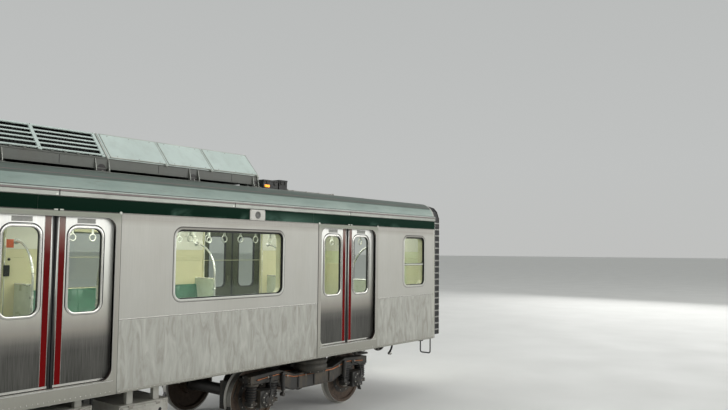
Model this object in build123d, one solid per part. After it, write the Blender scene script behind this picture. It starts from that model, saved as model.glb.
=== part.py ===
from build123d import *
import math
import os

# Intermediate metro car. Millimetres, +X along the car (front end), +Y its left side, +Z up.
# Origin: centre of the wheelbase plan, at the height of the wheel flanges' lowest point.

# ---- driving dimensions -------------------------------------------------------------------
RAIL = 28.0                 # rail head above the flanges' lowest point
BODY_HALF = 9800.0          # body end face
END_PLATE = 40.0            # end wall thickness
COUPLING = 10000.0          # half the coupling pitch: coupler and gangway faces
HALF_WIDTH = 1475.0
WALL = 135.0                # whole side wall, with the door pocket inside
SOLE_BOTTOM = 970.0 + RAIL
FLOOR = 1130.0 + RAIL
SLAB = 100.0
DOOR_TOP = 2950.0 + RAIL
DOOR_PITCH = 4850.0
DOOR_HALF = 680.0           # half the clear opening
DOOR_CENTRES = (-1.5 * DOOR_PITCH, -0.5 * DOOR_PITCH, 0.5 * DOOR_PITCH, 1.5 * DOOR_PITCH)
POCKET = (1375.0, 1435.0)   # |Y| of the door pocket
POCKET_END = 1375.0         # from the door centre
LEAF = (1387.0, 1423.0)     # |Y| of a leaf
LEAF_INNER = 2.5            # from the door centre to the meeting edge
LEAF_OUTER = 705.0
LEAF_BOTTOM = FLOOR + 6.0
LEAF_TOP = DOOR_TOP + 40.0
LEAF_GLASS = (165.0, 541.0) # from the door centre
GLASS_Z = (1989.0 + RAIL, 2850.0 + RAIL)
LEAF_GLASS_Z = (1912.0 + RAIL, 2826.0 + RAIL)
WINDOW_R = 95.0
GUTTER = (3163.0 + RAIL, 3255.0 + RAIL)
ROOF_MID = (1345.0, 3440.0 + RAIL)
ROOF_SHOULDER = (1100.0, 3500.0 + RAIL)
ROOF_TOP = 3570.0 + RAIL
GANGWAY_HALF = 650.0
GANGWAY_TOP = 3030.0 + RAIL
BOGIE_X = 6900.0
WHEELBASE = 2100.0
WHEEL_R = 430.0
FLANGE_R = WHEEL_R + RAIL
AXLE_Z = FLANGE_R
JOURNAL_R = 65.0
COUPLER_Z = 720.0 + RAIL
COUPLER_PIN_X = 9300.0

# windows: centre along X, width of the opening
WINDOWS = ((-9120.0, 640.0), (-4850.0, 1840.0), (0.0, 1840.0), (4850.0, 1840.0), (9120.0, 640.0))
# wall panels between the doorways: low X, high X, window index
WALL_PANELS = (
    (-BODY_HALF + END_PLATE, DOOR_CENTRES[0] - DOOR_HALF, 0),
    (DOOR_CENTRES[0] + DOOR_HALF, DOOR_CENTRES[1] - DOOR_HALF, 1),
    (DOOR_CENTRES[1] + DOOR_HALF, DOOR_CENTRES[2] - DOOR_HALF, 2),
    (DOOR_CENTRES[2] + DOOR_HALF, DOOR_CENTRES[3] - DOOR_HALF, 3),
    (DOOR_CENTRES[3] + DOOR_HALF, BODY_HALF - END_PLATE, 4),
)
# benches: centre along X, length
BENCHES = ((-8905.0, 1500.0), (-4850.0, 3090.0), (0.0, 3090.0), (4850.0, 3090.0), (8905.0, 1500.0))
# roof units: direction of the louvred end (towards the middle), low |X|, high |X|
AC_X = (350.0, 5603.0)
AC_FEET = (700.0, 1900.0, 3115.0, 4440.0, 5500.0)
AC_BASE = ROOF_TOP + 6.0
AC_EAVE = 3690.0 + RAIL
AC_TOP = 4005.0 + RAIL
AC_HALF_BASE = 1100.0
AC_HALF_TOP = 810.0


# ---- helpers --------------------------------------------------------------------------------
def block(x0, x1, y0, y1, z0, z1):
    return Pos((x0 + x1) / 2, (y0 + y1) / 2, (z0 + z1) / 2) * Box(abs(x1 - x0), abs(y1 - y0), abs(z1 - z0))


def rod_x(x0, x1, y, z, r):
    return Pos((x0 + x1) / 2, y, z) * Rot(0, 90, 0) * Cylinder(r, abs(x1 - x0))


def rod_y(x, y0, y1, z, r):
    return Pos(x, (y0 + y1) / 2, z) * Rot(90, 0, 0) * Cylinder(r, abs(y1 - y0))


def rod_z(x, y, z0, z1, r):
    return Pos(x, y, (z0 + z1) / 2) * Cylinder(r, abs(z1 - z0))


def slab_y(points, y0, y1):
    # a flat outline in X and Z, as thick as y0 to y1
    face = make_face(Polyline(*[(x, z) for x, z in points], close=True))
    body = extrude(Plane.XZ * face, amount=-(y1 - y0))
    return Pos(0, y0, 0) * body


def bar_x(points, x0, x1):
    # a flat outline in Y and Z, as long as x0 to x1
    face = make_face(Polyline(*[(y, z) for y, z in points], close=True))
    return Pos(x0, 0, 0) * extrude(Plane.YZ * face, amount=(x1 - x0))


def window_cut(x, width, z0, z1, y0, y1, r):
    face = Pos(x, (z0 + z1) / 2) * RectangleRounded(width, z1 - z0, r)
    return Pos(0, y0, 0) * extrude(Plane.XZ * face, amount=-(y1 - y0))


def ring_x(x0, x1, half, z0, z1, half_in, z0_in, z1_in, r=0.0, r_in=0.0):
    # a rectangular frame seen along X
    def face(h, a, b, rr):
        s = RectangleRounded(2 * h, b - a, rr) if rr else Rectangle(2 * h, b - a)
        return Pos(0, (a + b) / 2) * s
    outer = face(half, z0, z1, r) - face(half_in, z0_in, z1_in, r_in)
    return Pos(x0, 0, 0) * extrude(Plane.YZ * outer, amount=(x1 - x0))


def several(parts):
    return Compound(children=[s for p in parts for s in p.solids()])


def turned(part):
    # the same thing at the other end of the car
    return Rot(0, 0, 180) * part


os.makedirs("parts", exist_ok=True)


def keep(name, part):
    solids = part.solids()
    export_step(solids[0] if len(solids) == 1 else Compound(children=list(solids)), "parts/" + name + ".step")


# ---- underframe -------------------------------------------------------------------------------
INNER = HALF_WIDTH - WALL
SHELL_X = BODY_HALF - END_PLATE
under = block(-SHELL_X, SHELL_X, -INNER, INNER, FLOOR - SLAB, FLOOR)
for side in (-1, 1):
    under += block(-SHELL_X, SHELL_X, side * (INNER - 90), side * INNER, SOLE_BOTTOM, FLOOR - SLAB)
    for c in DOOR_CENTRES:
        under += block(c - DOOR_HALF, c + DOOR_HALF, side * INNER, side * HALF_WIDTH, SOLE_BOTTOM, FLOOR)
for x in (-4900, -4200, -3150, -2100, -1050, 0, 1050, 2100, 3150, 4200, 4900):
    under += block(x - 45, x + 45, -INNER + 90, INNER - 90, SOLE_BOTTOM, FLOOR - SLAB)
for end in (-1, 1):
    bx = end * BOGIE_X
    # body bolster with the round centre pivot that the bogie turns on
    under += block(bx - 170, bx + 170, -1200, 1200, 960, FLOOR - SLAB)
    under += rod_z(bx, 0, 540, 960, 60)
    under += rod_z(bx, 0, 900, 960, 160)
    # headstock and coupler anchor
    under += block(end * (SHELL_X - 100), end * SHELL_X, -INNER + 90, INNER - 90, 930, FLOOR - SLAB)
    x0, x1 = end * (COUPLER_PIN_X - 240), end * (COUPLER_PIN_X + 130)
    under += block(x0, x1, -170, 170, COUPLER_Z + 102, COUPLER_Z + 132)
    under += block(x0, x1, -170, 170, COUPLER_Z - 132, COUPLER_Z - 102)
    under += block(x0, end * (COUPLER_PIN_X - 180), -170, 170, COUPLER_Z - 132, FLOOR - SLAB)
    for side in (-1, 1):
        under += block(x0, x1, side * 150, side * 170, COUPLER_Z + 132, FLOOR - SLAB)
    under += rod_z(end * COUPLER_PIN_X, 0, COUPLER_Z - 132, COUPLER_Z + 132, 35)
keep("underframe", under)

# ---- side walls, five panels a side, with window openings and door pockets -------------------
panes = []
for side, name in ((1, "left_side_wall"), (-1, "right_side_wall")):
    walls = []
    for low, high, index in WALL_PANELS:
        wx, ww = WINDOWS[index]
        panel = block(low, high, side * INNER, side * HALF_WIDTH, SOLE_BOTTOM, DOOR_TOP)
        y0, y1 = sorted((side * (INNER - 5), side * (HALF_WIDTH + 5)))
        panel -= window_cut(wx, ww, GLASS_Z[0], GLASS_Z[1], y0, y1, WINDOW_R)
        for c in DOOR_CENTRES:
            for way in (-1, 1):
                p0, p1 = c + way * (DOOR_HALF - 5), c + way * POCKET_END
                if low <= (p0 + p1) / 2 <= high:
                    panel -= block(p0, p1, side * POCKET[0], side * POCKET[1], FLOOR, DOOR_TOP + 5)
        walls.append(panel)
        y0, y1 = sorted((side * 1436, side * 1446))
        panes.append(window_cut(wx, ww - 3, GLASS_Z[0] + 1.5, GLASS_Z[1] - 1.5, y0, y1, WINDOW_R - 1.5))
    keep(name, several(walls))
keep("side_windows", several(panes))


# ---- roof with cantrails and gutters ----------------------------------------------------------
def half_roof_outer(s):
    return [
        Line((s * HALF_WIDTH, DOOR_TOP), (s * HALF_WIDTH, GUTTER[0])),
        Line((s * HALF_WIDTH, GUTTER[0]), (s * (HALF_WIDTH + 12), GUTTER[0] + 8)),
        Line((s * (HALF_WIDTH + 12), GUTTER[0] + 8), (s * (HALF_WIDTH + 12), GUTTER[1] - 6)),
        Line((s * (HALF_WIDTH + 12), GUTTER[1] - 6), (s * (HALF_WIDTH - 15), GUTTER[1])),
        ThreePointArc((s * (HALF_WIDTH - 15), GUTTER[1]), (s * ROOF_MID[0], ROOF_MID[1]), (s * ROOF_SHOULDER[0], ROOF_SHOULDER[1])),
    ]


crown = ThreePointArc((ROOF_SHOULDER[0], ROOF_SHOULDER[1]), (0, ROOF_TOP), (-ROOF_SHOULDER[0], ROOF_SHOULDER[1]))
inner_roof = [
    Line((INNER, DOOR_TOP), (INNER, GUTTER[1])),
    ThreePointArc((INNER, GUTTER[1]), (1250, 3372 + RAIL), (1080, 3420 + RAIL)),
    ThreePointArc((1080, 3420 + RAIL), (0, 3488 + RAIL), (-1080, 3420 + RAIL)),
    ThreePointArc((-1080, 3420 + RAIL), (-1250, 3372 + RAIL), (-INNER, GUTTER[1])),
    Line((-INNER, GUTTER[1]), (-INNER, DOOR_TOP)),
]
foot = [Line((INNER, DOOR_TOP), (HALF_WIDTH, DOOR_TOP)), Line((-INNER, DOOR_TOP), (-HALF_WIDTH, DOOR_TOP))]
roof_face = make_face(Wire(half_roof_outer(1) + [crown] + half_roof_outer(-1) + foot + inner_roof))
roof = Pos(-SHELL_X, 0, 0) * extrude(Plane.YZ * roof_face, amount=2 * SHELL_X)
for side in (-1, 1):
    roof -= block(-SHELL_X + 200, SHELL_X - 200, side * POCKET[0], side * POCKET[1], DOOR_TOP - 5, DOOR_TOP + 75)
for end in (-1, 1):
    for x in AC_FEET:
        for side in (-1, 1):
            roof += block(end * x - 70, end * x + 70, side * 900, side * 1060, 3470 + RAIL, AC_BASE)
keep("roof", roof)

# ---- ceiling -----------------------------------------------------------------------------------
CEILING = 3206 + RAIL
ceiling_outline = [(1336, DOOR_TOP + 8), (1336, DOOR_TOP + 40), (1010, 3231 + RAIL), (-1010, 3231 + RAIL), (-1336, DOOR_TOP + 40),
                   (-1336, DOOR_TOP + 8), (-1318, DOOR_TOP + 8), (-1002, CEILING), (1002, CEILING), (1318, DOOR_TOP + 8)]
keep("ceiling", bar_x(ceiling_outline, -SHELL_X, SHELL_X))

# ---- end walls with gangway doorways ------------------------------------------------------------
end_face = make_face(Wire(half_roof_outer(1) + [crown] + half_roof_outer(-1) + [
    Line((HALF_WIDTH, DOOR_TOP), (HALF_WIDTH, SOLE_BOTTOM)),
    Line((HALF_WIDTH, SOLE_BOTTOM), (-HALF_WIDTH, SOLE_BOTTOM)),
    Line((-HALF_WIDTH, SOLE_BOTTOM), (-HALF_WIDTH, DOOR_TOP)),
]))
end_wall = Pos(SHELL_X, 0, 0) * extrude(Plane.YZ * end_face, amount=END_PLATE)
doorway = Pos(0, (FLOOR + GANGWAY_TOP) / 2) * Rectangle(2 * GANGWAY_HALF, GANGWAY_TOP - FLOOR)
end_wall -= Pos(SHELL_X - 5, 0, 0) * extrude(Plane.YZ * doorway, amount=END_PLATE + 10)
keep("end_walls", several([end_wall, turned(end_wall)]))

# ---- gangways: bellows, face plates with their step plates, rubber barriers -----------------------
bellows = ring_x(BODY_HALF, BODY_HALF + 148, 830, 1060, 3206, 660, 1105, 3068)
keep("gangway_bellows", several([bellows, turned(bellows)]))

FACE_X = BODY_HALF + 148
face_plate = ring_x(FACE_X, COUPLING, 800, 1070, 3178, 660, 1115, 3068)
for side in (-1, 1):
    for z in (1500.0, 2600.0):
        face_plate -= rod_x(FACE_X - 5, COUPLING + 5, side * 735, z, 11)
face_plate += block(BODY_HALF + 5, COUPLING, -560, 560, 1108, 1148)
keep("gangway_faceplates", several([face_plate, turned(face_plate)]))

# each barrier follows the body's outline from the sole up and over the roof's shoulder
FIN_OUTLINE = ((1448, 1060), (1448, 3252), (1400, 3384), (1332, 3452), (1220, 3488), (1100, 3512),
               (1100, 3482), (1210, 3459), (1313, 3426), (1374, 3366), (1418, 3247), (1418, 1060))
fins = []
for end in (-1, 1):
    for side in (-1, 1):
        fin = bar_x([(side * y, z) for y, z in FIN_OUTLINE], min(end * BODY_HALF, end * (BODY_HALF + 185)), max(end * BODY_HALF, end * (BODY_HALF + 185)))
        for k in range(15):
            z = 1150 + 138 * k
            fin += block(end * BODY_HALF, end * (BODY_HALF + 185), side * 1408, side * 1458, z, z + 48)
        fins.append(fin)
keep("intercar_barriers", several(fins))

# ---- inside: benches, end screens, grab poles ------------------------------------------------------
def bent_pole(x, side):
    # upright from the floor in front of the bench's end, then a quarter turn into the side wall
    y0, y1, z0, z1 = side * 818, side * (INNER - 2), FLOOR + 1042, FLOOR + 1042 + (INNER - 820)
    mid = (z1 - z0) * math.sin(math.radians(45))
    path = Wire([Line((x, y0, FLOOR), (x, y0, z0)), ThreePointArc((x, y0, z0), (x, y1 - side * mid, z0 + mid), (x, y1, z1))])
    return sweep(Plane(origin=(x, y0, FLOOR), z_dir=(0, 0, 1)) * Circle(16), path=path)


SEAT_Z = FLOOR + 440.0
OVERHEAD = FLOOR + 1800.0
BENCH_BACK = INNER - 12.0
seats, screens, poles = [], [], []
for side in (-1, 1):
    outline = [(side * y, z) for y, z in (
        (BENCH_BACK, FLOOR + 250), (BENCH_BACK, SEAT_Z + 420), (BENCH_BACK - 35, SEAT_Z + 420), (BENCH_BACK - 90, SEAT_Z + 60),
        (BENCH_BACK - 130, SEAT_Z), (890, SEAT_Z + 25), (872, SEAT_Z + 10), (875, SEAT_Z - 30), (1180, SEAT_Z - 60), (1230, FLOOR + 250))]
    for x, length in BENCHES:
        seats.append(bar_x(outline, x - length / 2, x + length / 2))
        ends = [x - length / 2, x + length / 2]
        for e, way in ((ends[0], -1), (ends[1], 1)):
            if abs(e) > SHELL_X - 300:
                continue
            screens.append(block(e + way * 4, e + way * 26, side * 846, side * 1336, FLOOR + 300, FLOOR + 960))
            poles.append(bent_pole(e + way * 19, side))
        # overhead rail with its three hangers
        rail = rod_x(x - length / 2 + 80, x + length / 2 - 80, side * 740, OVERHEAD, 16)
        for h in (-1, 0, 1):
            rail += rod_z(x + h * (length / 2 - 120), side * 740, OVERHEAD, CEILING, 13)
        poles.append(rail)
keep("bench_seats", several(seats))
keep("seat_end_screens", several(screens))
keep("grab_poles", several(poles))

# ---- roof units and cable boxes -----------------------------------------------------------------------
unit = bar_x([(-AC_HALF_BASE, AC_BASE), (-AC_HALF_BASE, AC_EAVE), (-AC_HALF_TOP, AC_TOP), (AC_HALF_TOP, AC_TOP),
              (AC_HALF_BASE, AC_EAVE), (AC_HALF_BASE, AC_BASE)], AC_X[0], AC_X[1])
for side in (-1, 1):
    skirt = block(AC_X[0] + 60, AC_X[1], side * 1075, side * 1108, 3545 + RAIL, AC_EAVE - 15)
    for x in AC_FEET[1:]:
        skirt -= rod_y(x, side * 1060, side * 1120, 3545 + RAIL, 70)
    unit += skirt
keep("air_conditioning_units", several([unit, turned(unit)]))

boxes = []
for x0, x1, y0, y1, top in ((5790, 6090, -1020, -620, 3650), (6115, 6285, -1020, -700, 3670), (7600, 8700, 560, 1000, 3650)):
    box = block(x0, x1, y0, y1, 3450 + RAIL, top + RAIL)
    boxes.append(box)
    boxes.append(turned(box))
cut = Pos(-SHELL_X, 0, 0) * extrude(Plane.YZ * make_face(Wire([crown, Line((ROOF_SHOULDER[0], ROOF_SHOULDER[1]), (ROOF_SHOULDER[0], 3300)),
      Line((ROOF_SHOULDER[0], 3300), (-ROOF_SHOULDER[0], 3300)), Line((-ROOF_SHOULDER[0], 3300), (-ROOF_SHOULDER[0], ROOF_SHOULDER[1]))])), amount=2 * SHELL_X)
keep("roof_cable_boxes", several([b - cut for b in boxes]))

# ---- underfloor equipment: low X, high X, low Y, high Y, low Z, high Z above the rail ------------------
EQUIPMENT = (
    ("traction_inverter", 700, 2960, -1350, -250, 310, 862),
    ("auxiliary_converter", -4600, -2300, -1350, -250, 310, 862),
    ("battery_box", 3300, 3960, -1350, -500, 335, 790),
    ("air_compressor", -1900, -100, -1300, -350, 340, 800),
    ("line_breaker_box", 300, 2500, 350, 1350, 330, 820),
)
for name, x0, x1, y0, y1, z0, z1 in EQUIPMENT:
    z0, z1 = z0 + RAIL, z1 + RAIL
    box = block(x0, x1, y0, y1, z0, z1)
    for x in (x0 + 150, x1 - 150):
        for y in (y0 + 60, y1 - 60):
            under_sole = abs(y) + 30 > INNER - 90
            box += block(x - 40, x + 40, y - 30, y + 30, z1 - 10, SOLE_BOTTOM if under_sole else FLOOR - SLAB)
    keep(name, box)

# air reservoirs: three tanks with cradles up to the floor
tanks = []
for x0, x1, y, z, r in ((-4500, -2600, 900, 640, 190), (-2200, -600, 900, 640, 190), (3000, 4700, 900, 640, 190)):
    tank = rod_x(x0 + 60, x1 - 60, y, z, r)
    for x, way in ((x0 + 60, -1), (x1 - 60, 1)):
        tank += Pos(x + way * 29, y, z) * Rot(0, 90, 0) * (Cone(r, r * 0.62, 60) if way > 0 else Cone(r * 0.62, r, 60))
    for x in (x0 + 420, x1 - 300):
        tank += block(x - 30, x + 30, y - 150, y + 150, z + r - 60, FLOOR - SLAB)
    tanks.append(tank)
keep("air_reservoirs", several(tanks))

# ---- couplers: a bar with an eye round the anchor's pin and a bolted muff -------------------------------
bar = rod_z(COUPLER_PIN_X, 0, COUPLER_Z - 85, COUPLER_Z + 85, 95)
bar += rod_x(COUPLER_PIN_X + 60, COUPLING - 45, 0, COUPLER_Z, 62)
bar += rod_x(COUPLING - 330, COUPLING - 180, 0, COUPLER_Z, 85)
bar += rod_x(COUPLING - 45, COUPLING, 0, COUPLER_Z, 150)
bar -= rod_z(COUPLER_PIN_X, 0, COUPLER_Z - 100, COUPLER_Z + 100, 37)
for k in range(8):
    a = math.radians(22.5 + 45 * k)
    bar -= rod_x(COUPLING - 60, COUPLING + 5, 120 * math.cos(a), COUPLER_Z + 120 * math.sin(a), 11)
keep("front_coupler", bar)
keep("rear_coupler", turned(bar))

# ---- bogies ------------------------------------------------------------------------------------------
HALF_BASE = WHEELBASE / 2
SIDE_Y = (905.0, 1075.0)
frame = None
# side frame outline, from one end to the middle, then mirrored: x, z
half_outline = ((-1330, 690), (-1330, 800), (-760, 830), (-430, 720), (0, 720))
under_outline = ((0, 500), (-480, 500), (-760, 640), (-860, 690))
side_outline = list(half_outline) + [(-x, z) for x, z in reversed(half_outline[:-1])] + \
    [(-x, z) for x, z in reversed(under_outline)] + list(under_outline[1:])
for side in (-1, 1):
    y0, y1 = sorted((side * SIDE_Y[0], side * SIDE_Y[1]))
    beam = slab_y(side_outline, y0, y1)
    for way in (-1, 1):
        x = way * HALF_BASE
        # axle box, with the rubber springs between it and the frame
        beam += block(x - 130, x + 130, side * 915, side * 1120, AXLE_Z - 120, AXLE_Z + 125)
        beam += block(x - 270, x + 270, side * 935, side * 1060, AXLE_Z - 85, AXLE_Z - 25)
        for w in (-1, 1):
            beam += rod_z(x + w * 200, side * 995, AXLE_Z - 30, 700, 62)
        beam -= rod_y(x, side * 880, side * 1095, AXLE_Z, JOURNAL_R + 2)
        # brake unit hung from the frame, with its shoe beside the tread
        s = -way
        beam += block(x + s * 520, x + s * 700, side * 690, side * 920, 520, 700)
        shoe = rod_y(x, side * 727, side * 795, AXLE_Z, 500) - rod_y(x, side * 720, side * 800, AXLE_Z, WHEEL_R + 9)
        shoe = shoe & block(x + s * 380, x + s * 560, side * 727, side * 795, AXLE_Z + 20, AXLE_Z + 200)
        beam += shoe
        beam += block(x + s * 470, x + s * 530, side * 735, side * 785, 540, 640)
    frame = beam if frame is None else frame + beam
for x in (-170, 170):
    frame += rod_y(x, -930, 930, 600, 85)
frame += block(-175, 175, -190, 190, 545, 700)
for way in (-1, 1):
    # motor mounting faces
    frame += block(way * 180, way * 264, way * -200, way * 280, 500, 690)
frame -= rod_z(0, 0, 500, 760, 63)

springs = []
for side in (-1, 1):
    outline = [(0, 722), (230, 722), (230, 752), (262, 790), (275, 838), (262, 886), (230, 924), (230, 954), (0, 954)]
    spring = revolve(Plane.XZ * make_face(Polyline(*outline, close=True)), Axis.Z)
    springs.append(Pos(0, side * 990, 0) * spring)

motors = []
for way in (-1, 1):
    motor = rod_y(way * 520, way * -250, way * 330, AXLE_Z - 8, 215)
    # gearcase round the axle, open for it with clearance
    gear = block(way * 420, way * 1290, way * 345, way * 520, AXLE_Z - 210, AXLE_Z + 200)
    gear -= rod_y(way * HALF_BASE, way * 330, way * 540, AXLE_Z, 96)
    motor += gear
    motor += rod_y(way * 520, way * 320, way * 350, AXLE_Z - 8, 150)
    motor += block(way * 264, way * 420, way * -180, way * 260, 510, 640)
    motors.append(motor)

for end, name in ((1, "front"), (-1, "rear")):
    place = Pos(end * BOGIE_X, 0, 0)
    keep(name + "_bogie_frame", place * frame)
    keep(name + "_air_springs", several([place * s for s in springs]))
    keep(name + "_traction_motors", several([place * m for m in motors]))

# wheelset: radius and distance from the middle of the axle, for one half
AXLE_PROFILE = ((0, 0), (88, 0), (88, 560), (96, 590), (96, 700), (100, 705), (100, 850), (82, 865), (82, 890), (JOURNAL_R, 900), (JOURNAL_R, 1080), (0, 1080))
WHEEL_PROFILE = ((96, 650), (150, 650), (150, 700), (170, 738), (365, 722), (378, 680), (FLANGE_R - 14, 680), (FLANGE_R, 694),
                 (FLANGE_R, 699), (WHEEL_R, 716), (WHEEL_R, 815), (380, 815), (365, 790), (175, 800), (150, 812), (96, 812))
half = revolve(Plane.YZ * make_face(Polyline(*[(a, r) for r, a in AXLE_PROFILE], close=True)), Axis.Y)
half += revolve(Plane.YZ * make_face(Polyline(*[(a, r) for r, a in WHEEL_PROFILE], close=True)), Axis.Y)
wheelset = half + Rot(0, 0, 180) * half
WHEELSETS = (("wheelset_1", BOGIE_X + HALF_BASE), ("wheelset_2", BOGIE_X - HALF_BASE),
             ("wheelset_3", -BOGIE_X + HALF_BASE), ("wheelset_4", -BOGIE_X - HALF_BASE))
for name, x in WHEELSETS:
    keep(name, Pos(x, 0, AXLE_Z) * wheelset)

# ---- door leaves: side, doorway number from the front, and which leaf -----------------------------------
for side, side_name in ((1, "left"), (-1, "right")):
    for number, c in enumerate(reversed(DOOR_CENTRES), 1):
        for way, leaf_name in ((1, "front"), (-1, "rear")):
            y0, y1 = sorted((side * LEAF[0], side * LEAF[1]))
            leaf = block(c + way * LEAF_INNER, c + way * LEAF_OUTER, y0, y1, LEAF_BOTTOM, LEAF_TOP)
            gx = c + way * (LEAF_GLASS[0] + LEAF_GLASS[1]) / 2
            gw = LEAF_GLASS[1] - LEAF_GLASS[0]
            leaf -= window_cut(gx, gw, LEAF_GLASS_Z[0], LEAF_GLASS_Z[1], y0 - 5, y1 + 5, 90)
            pane = window_cut(gx, gw - 3, LEAF_GLASS_Z[0] + 1.5, LEAF_GLASS_Z[1] - 1.5, (y0 + y1) / 2 - 6, (y0 + y1) / 2 + 6, 88.5)
            keep("%s_door_%d_%s_leaf" % (side_name, number, leaf_name), several([leaf, pane]))
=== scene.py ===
import bpy, bmesh, math
from mathutils import Vector, Matrix


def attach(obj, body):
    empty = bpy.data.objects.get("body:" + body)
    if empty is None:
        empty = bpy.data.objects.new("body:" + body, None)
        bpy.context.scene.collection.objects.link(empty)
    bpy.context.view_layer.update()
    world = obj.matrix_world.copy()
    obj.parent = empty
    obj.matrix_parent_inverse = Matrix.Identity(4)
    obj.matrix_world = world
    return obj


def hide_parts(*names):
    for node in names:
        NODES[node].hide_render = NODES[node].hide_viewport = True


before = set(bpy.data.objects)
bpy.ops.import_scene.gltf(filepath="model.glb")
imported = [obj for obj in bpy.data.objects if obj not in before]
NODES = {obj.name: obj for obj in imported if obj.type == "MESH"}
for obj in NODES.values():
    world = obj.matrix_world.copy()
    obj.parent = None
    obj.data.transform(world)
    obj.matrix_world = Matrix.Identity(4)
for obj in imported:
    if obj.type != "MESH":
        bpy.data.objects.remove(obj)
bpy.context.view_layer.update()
scene = bpy.context.scene
PI = math.pi
RAIL = 0.028

# dimensions of the frame, in metres
SOLE, FLOOR, DOOR_TOP = 0.998, 1.158, 2.978
LEAF_Z = (1.164, 3.018)
GLASS = (2.017, 2.878)
LEAF_GLASS = (1.940, 2.854)
HALF_W, INNER = 1.475, 1.340
DOORS = {1: 7.275, 2: 2.425, 3: -2.425, 4: -7.275}
WINDOWS = ((-9.12, 0.64), (-4.85, 1.84), (0.0, 1.84), (4.85, 1.84), (9.12, 0.64))
BENCHES = ((-8.905, 1.5), (-4.85, 3.09), (0.0, 3.09), (4.85, 3.09), (8.905, 1.5))
AXLES = {"wheelset_1": 7.95, "wheelset_2": 5.85, "wheelset_3": -5.85, "wheelset_4": -7.95}


# ------------------------------------------------------------------ camera, from a perspective fit of the photograph
def make_camera():
    f, loc = 683.642874, Vector((-1.22474421, -8.54230491, 2.63658002 + RAIL))
    yaw, pitch, roll = math.radians(51.41207182), math.radians(3.65379731), math.radians(0.58537375)
    fwd = Vector((math.sin(yaw) * math.cos(pitch), math.cos(yaw) * math.cos(pitch), math.sin(pitch)))
    right = Vector((math.cos(yaw), -math.sin(yaw), 0.0))
    up = right.cross(fwd)
    r2 = right * math.cos(roll) + up * math.sin(roll)
    u2 = -right * math.sin(roll) + up * math.cos(roll)
    cam = bpy.data.cameras.new("camera")
    cam.sensor_width = 36.0
    cam.lens = f * 36.0 / 728.0
    cam.clip_end = 300.0
    ob = bpy.data.objects.new("camera", cam)
    m = Matrix((r2, u2, -fwd)).transposed().to_4x4()
    m.translation = loc
    ob.matrix_world = m
    scene.collection.objects.link(ob)
    scene.camera = ob


make_camera()


# ------------------------------------------------------------------ node materials
def lin(c):
    # sRGB 0-255 to linear
    out = []
    for v in c:
        v = v / 255.0
        out.append(v / 12.92 if v <= 0.04045 else ((v + 0.055) / 1.055) ** 2.4)
    return (out[0], out[1], out[2], 1.0)


def g(v):
    return (v, v, v, 1.0)


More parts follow.
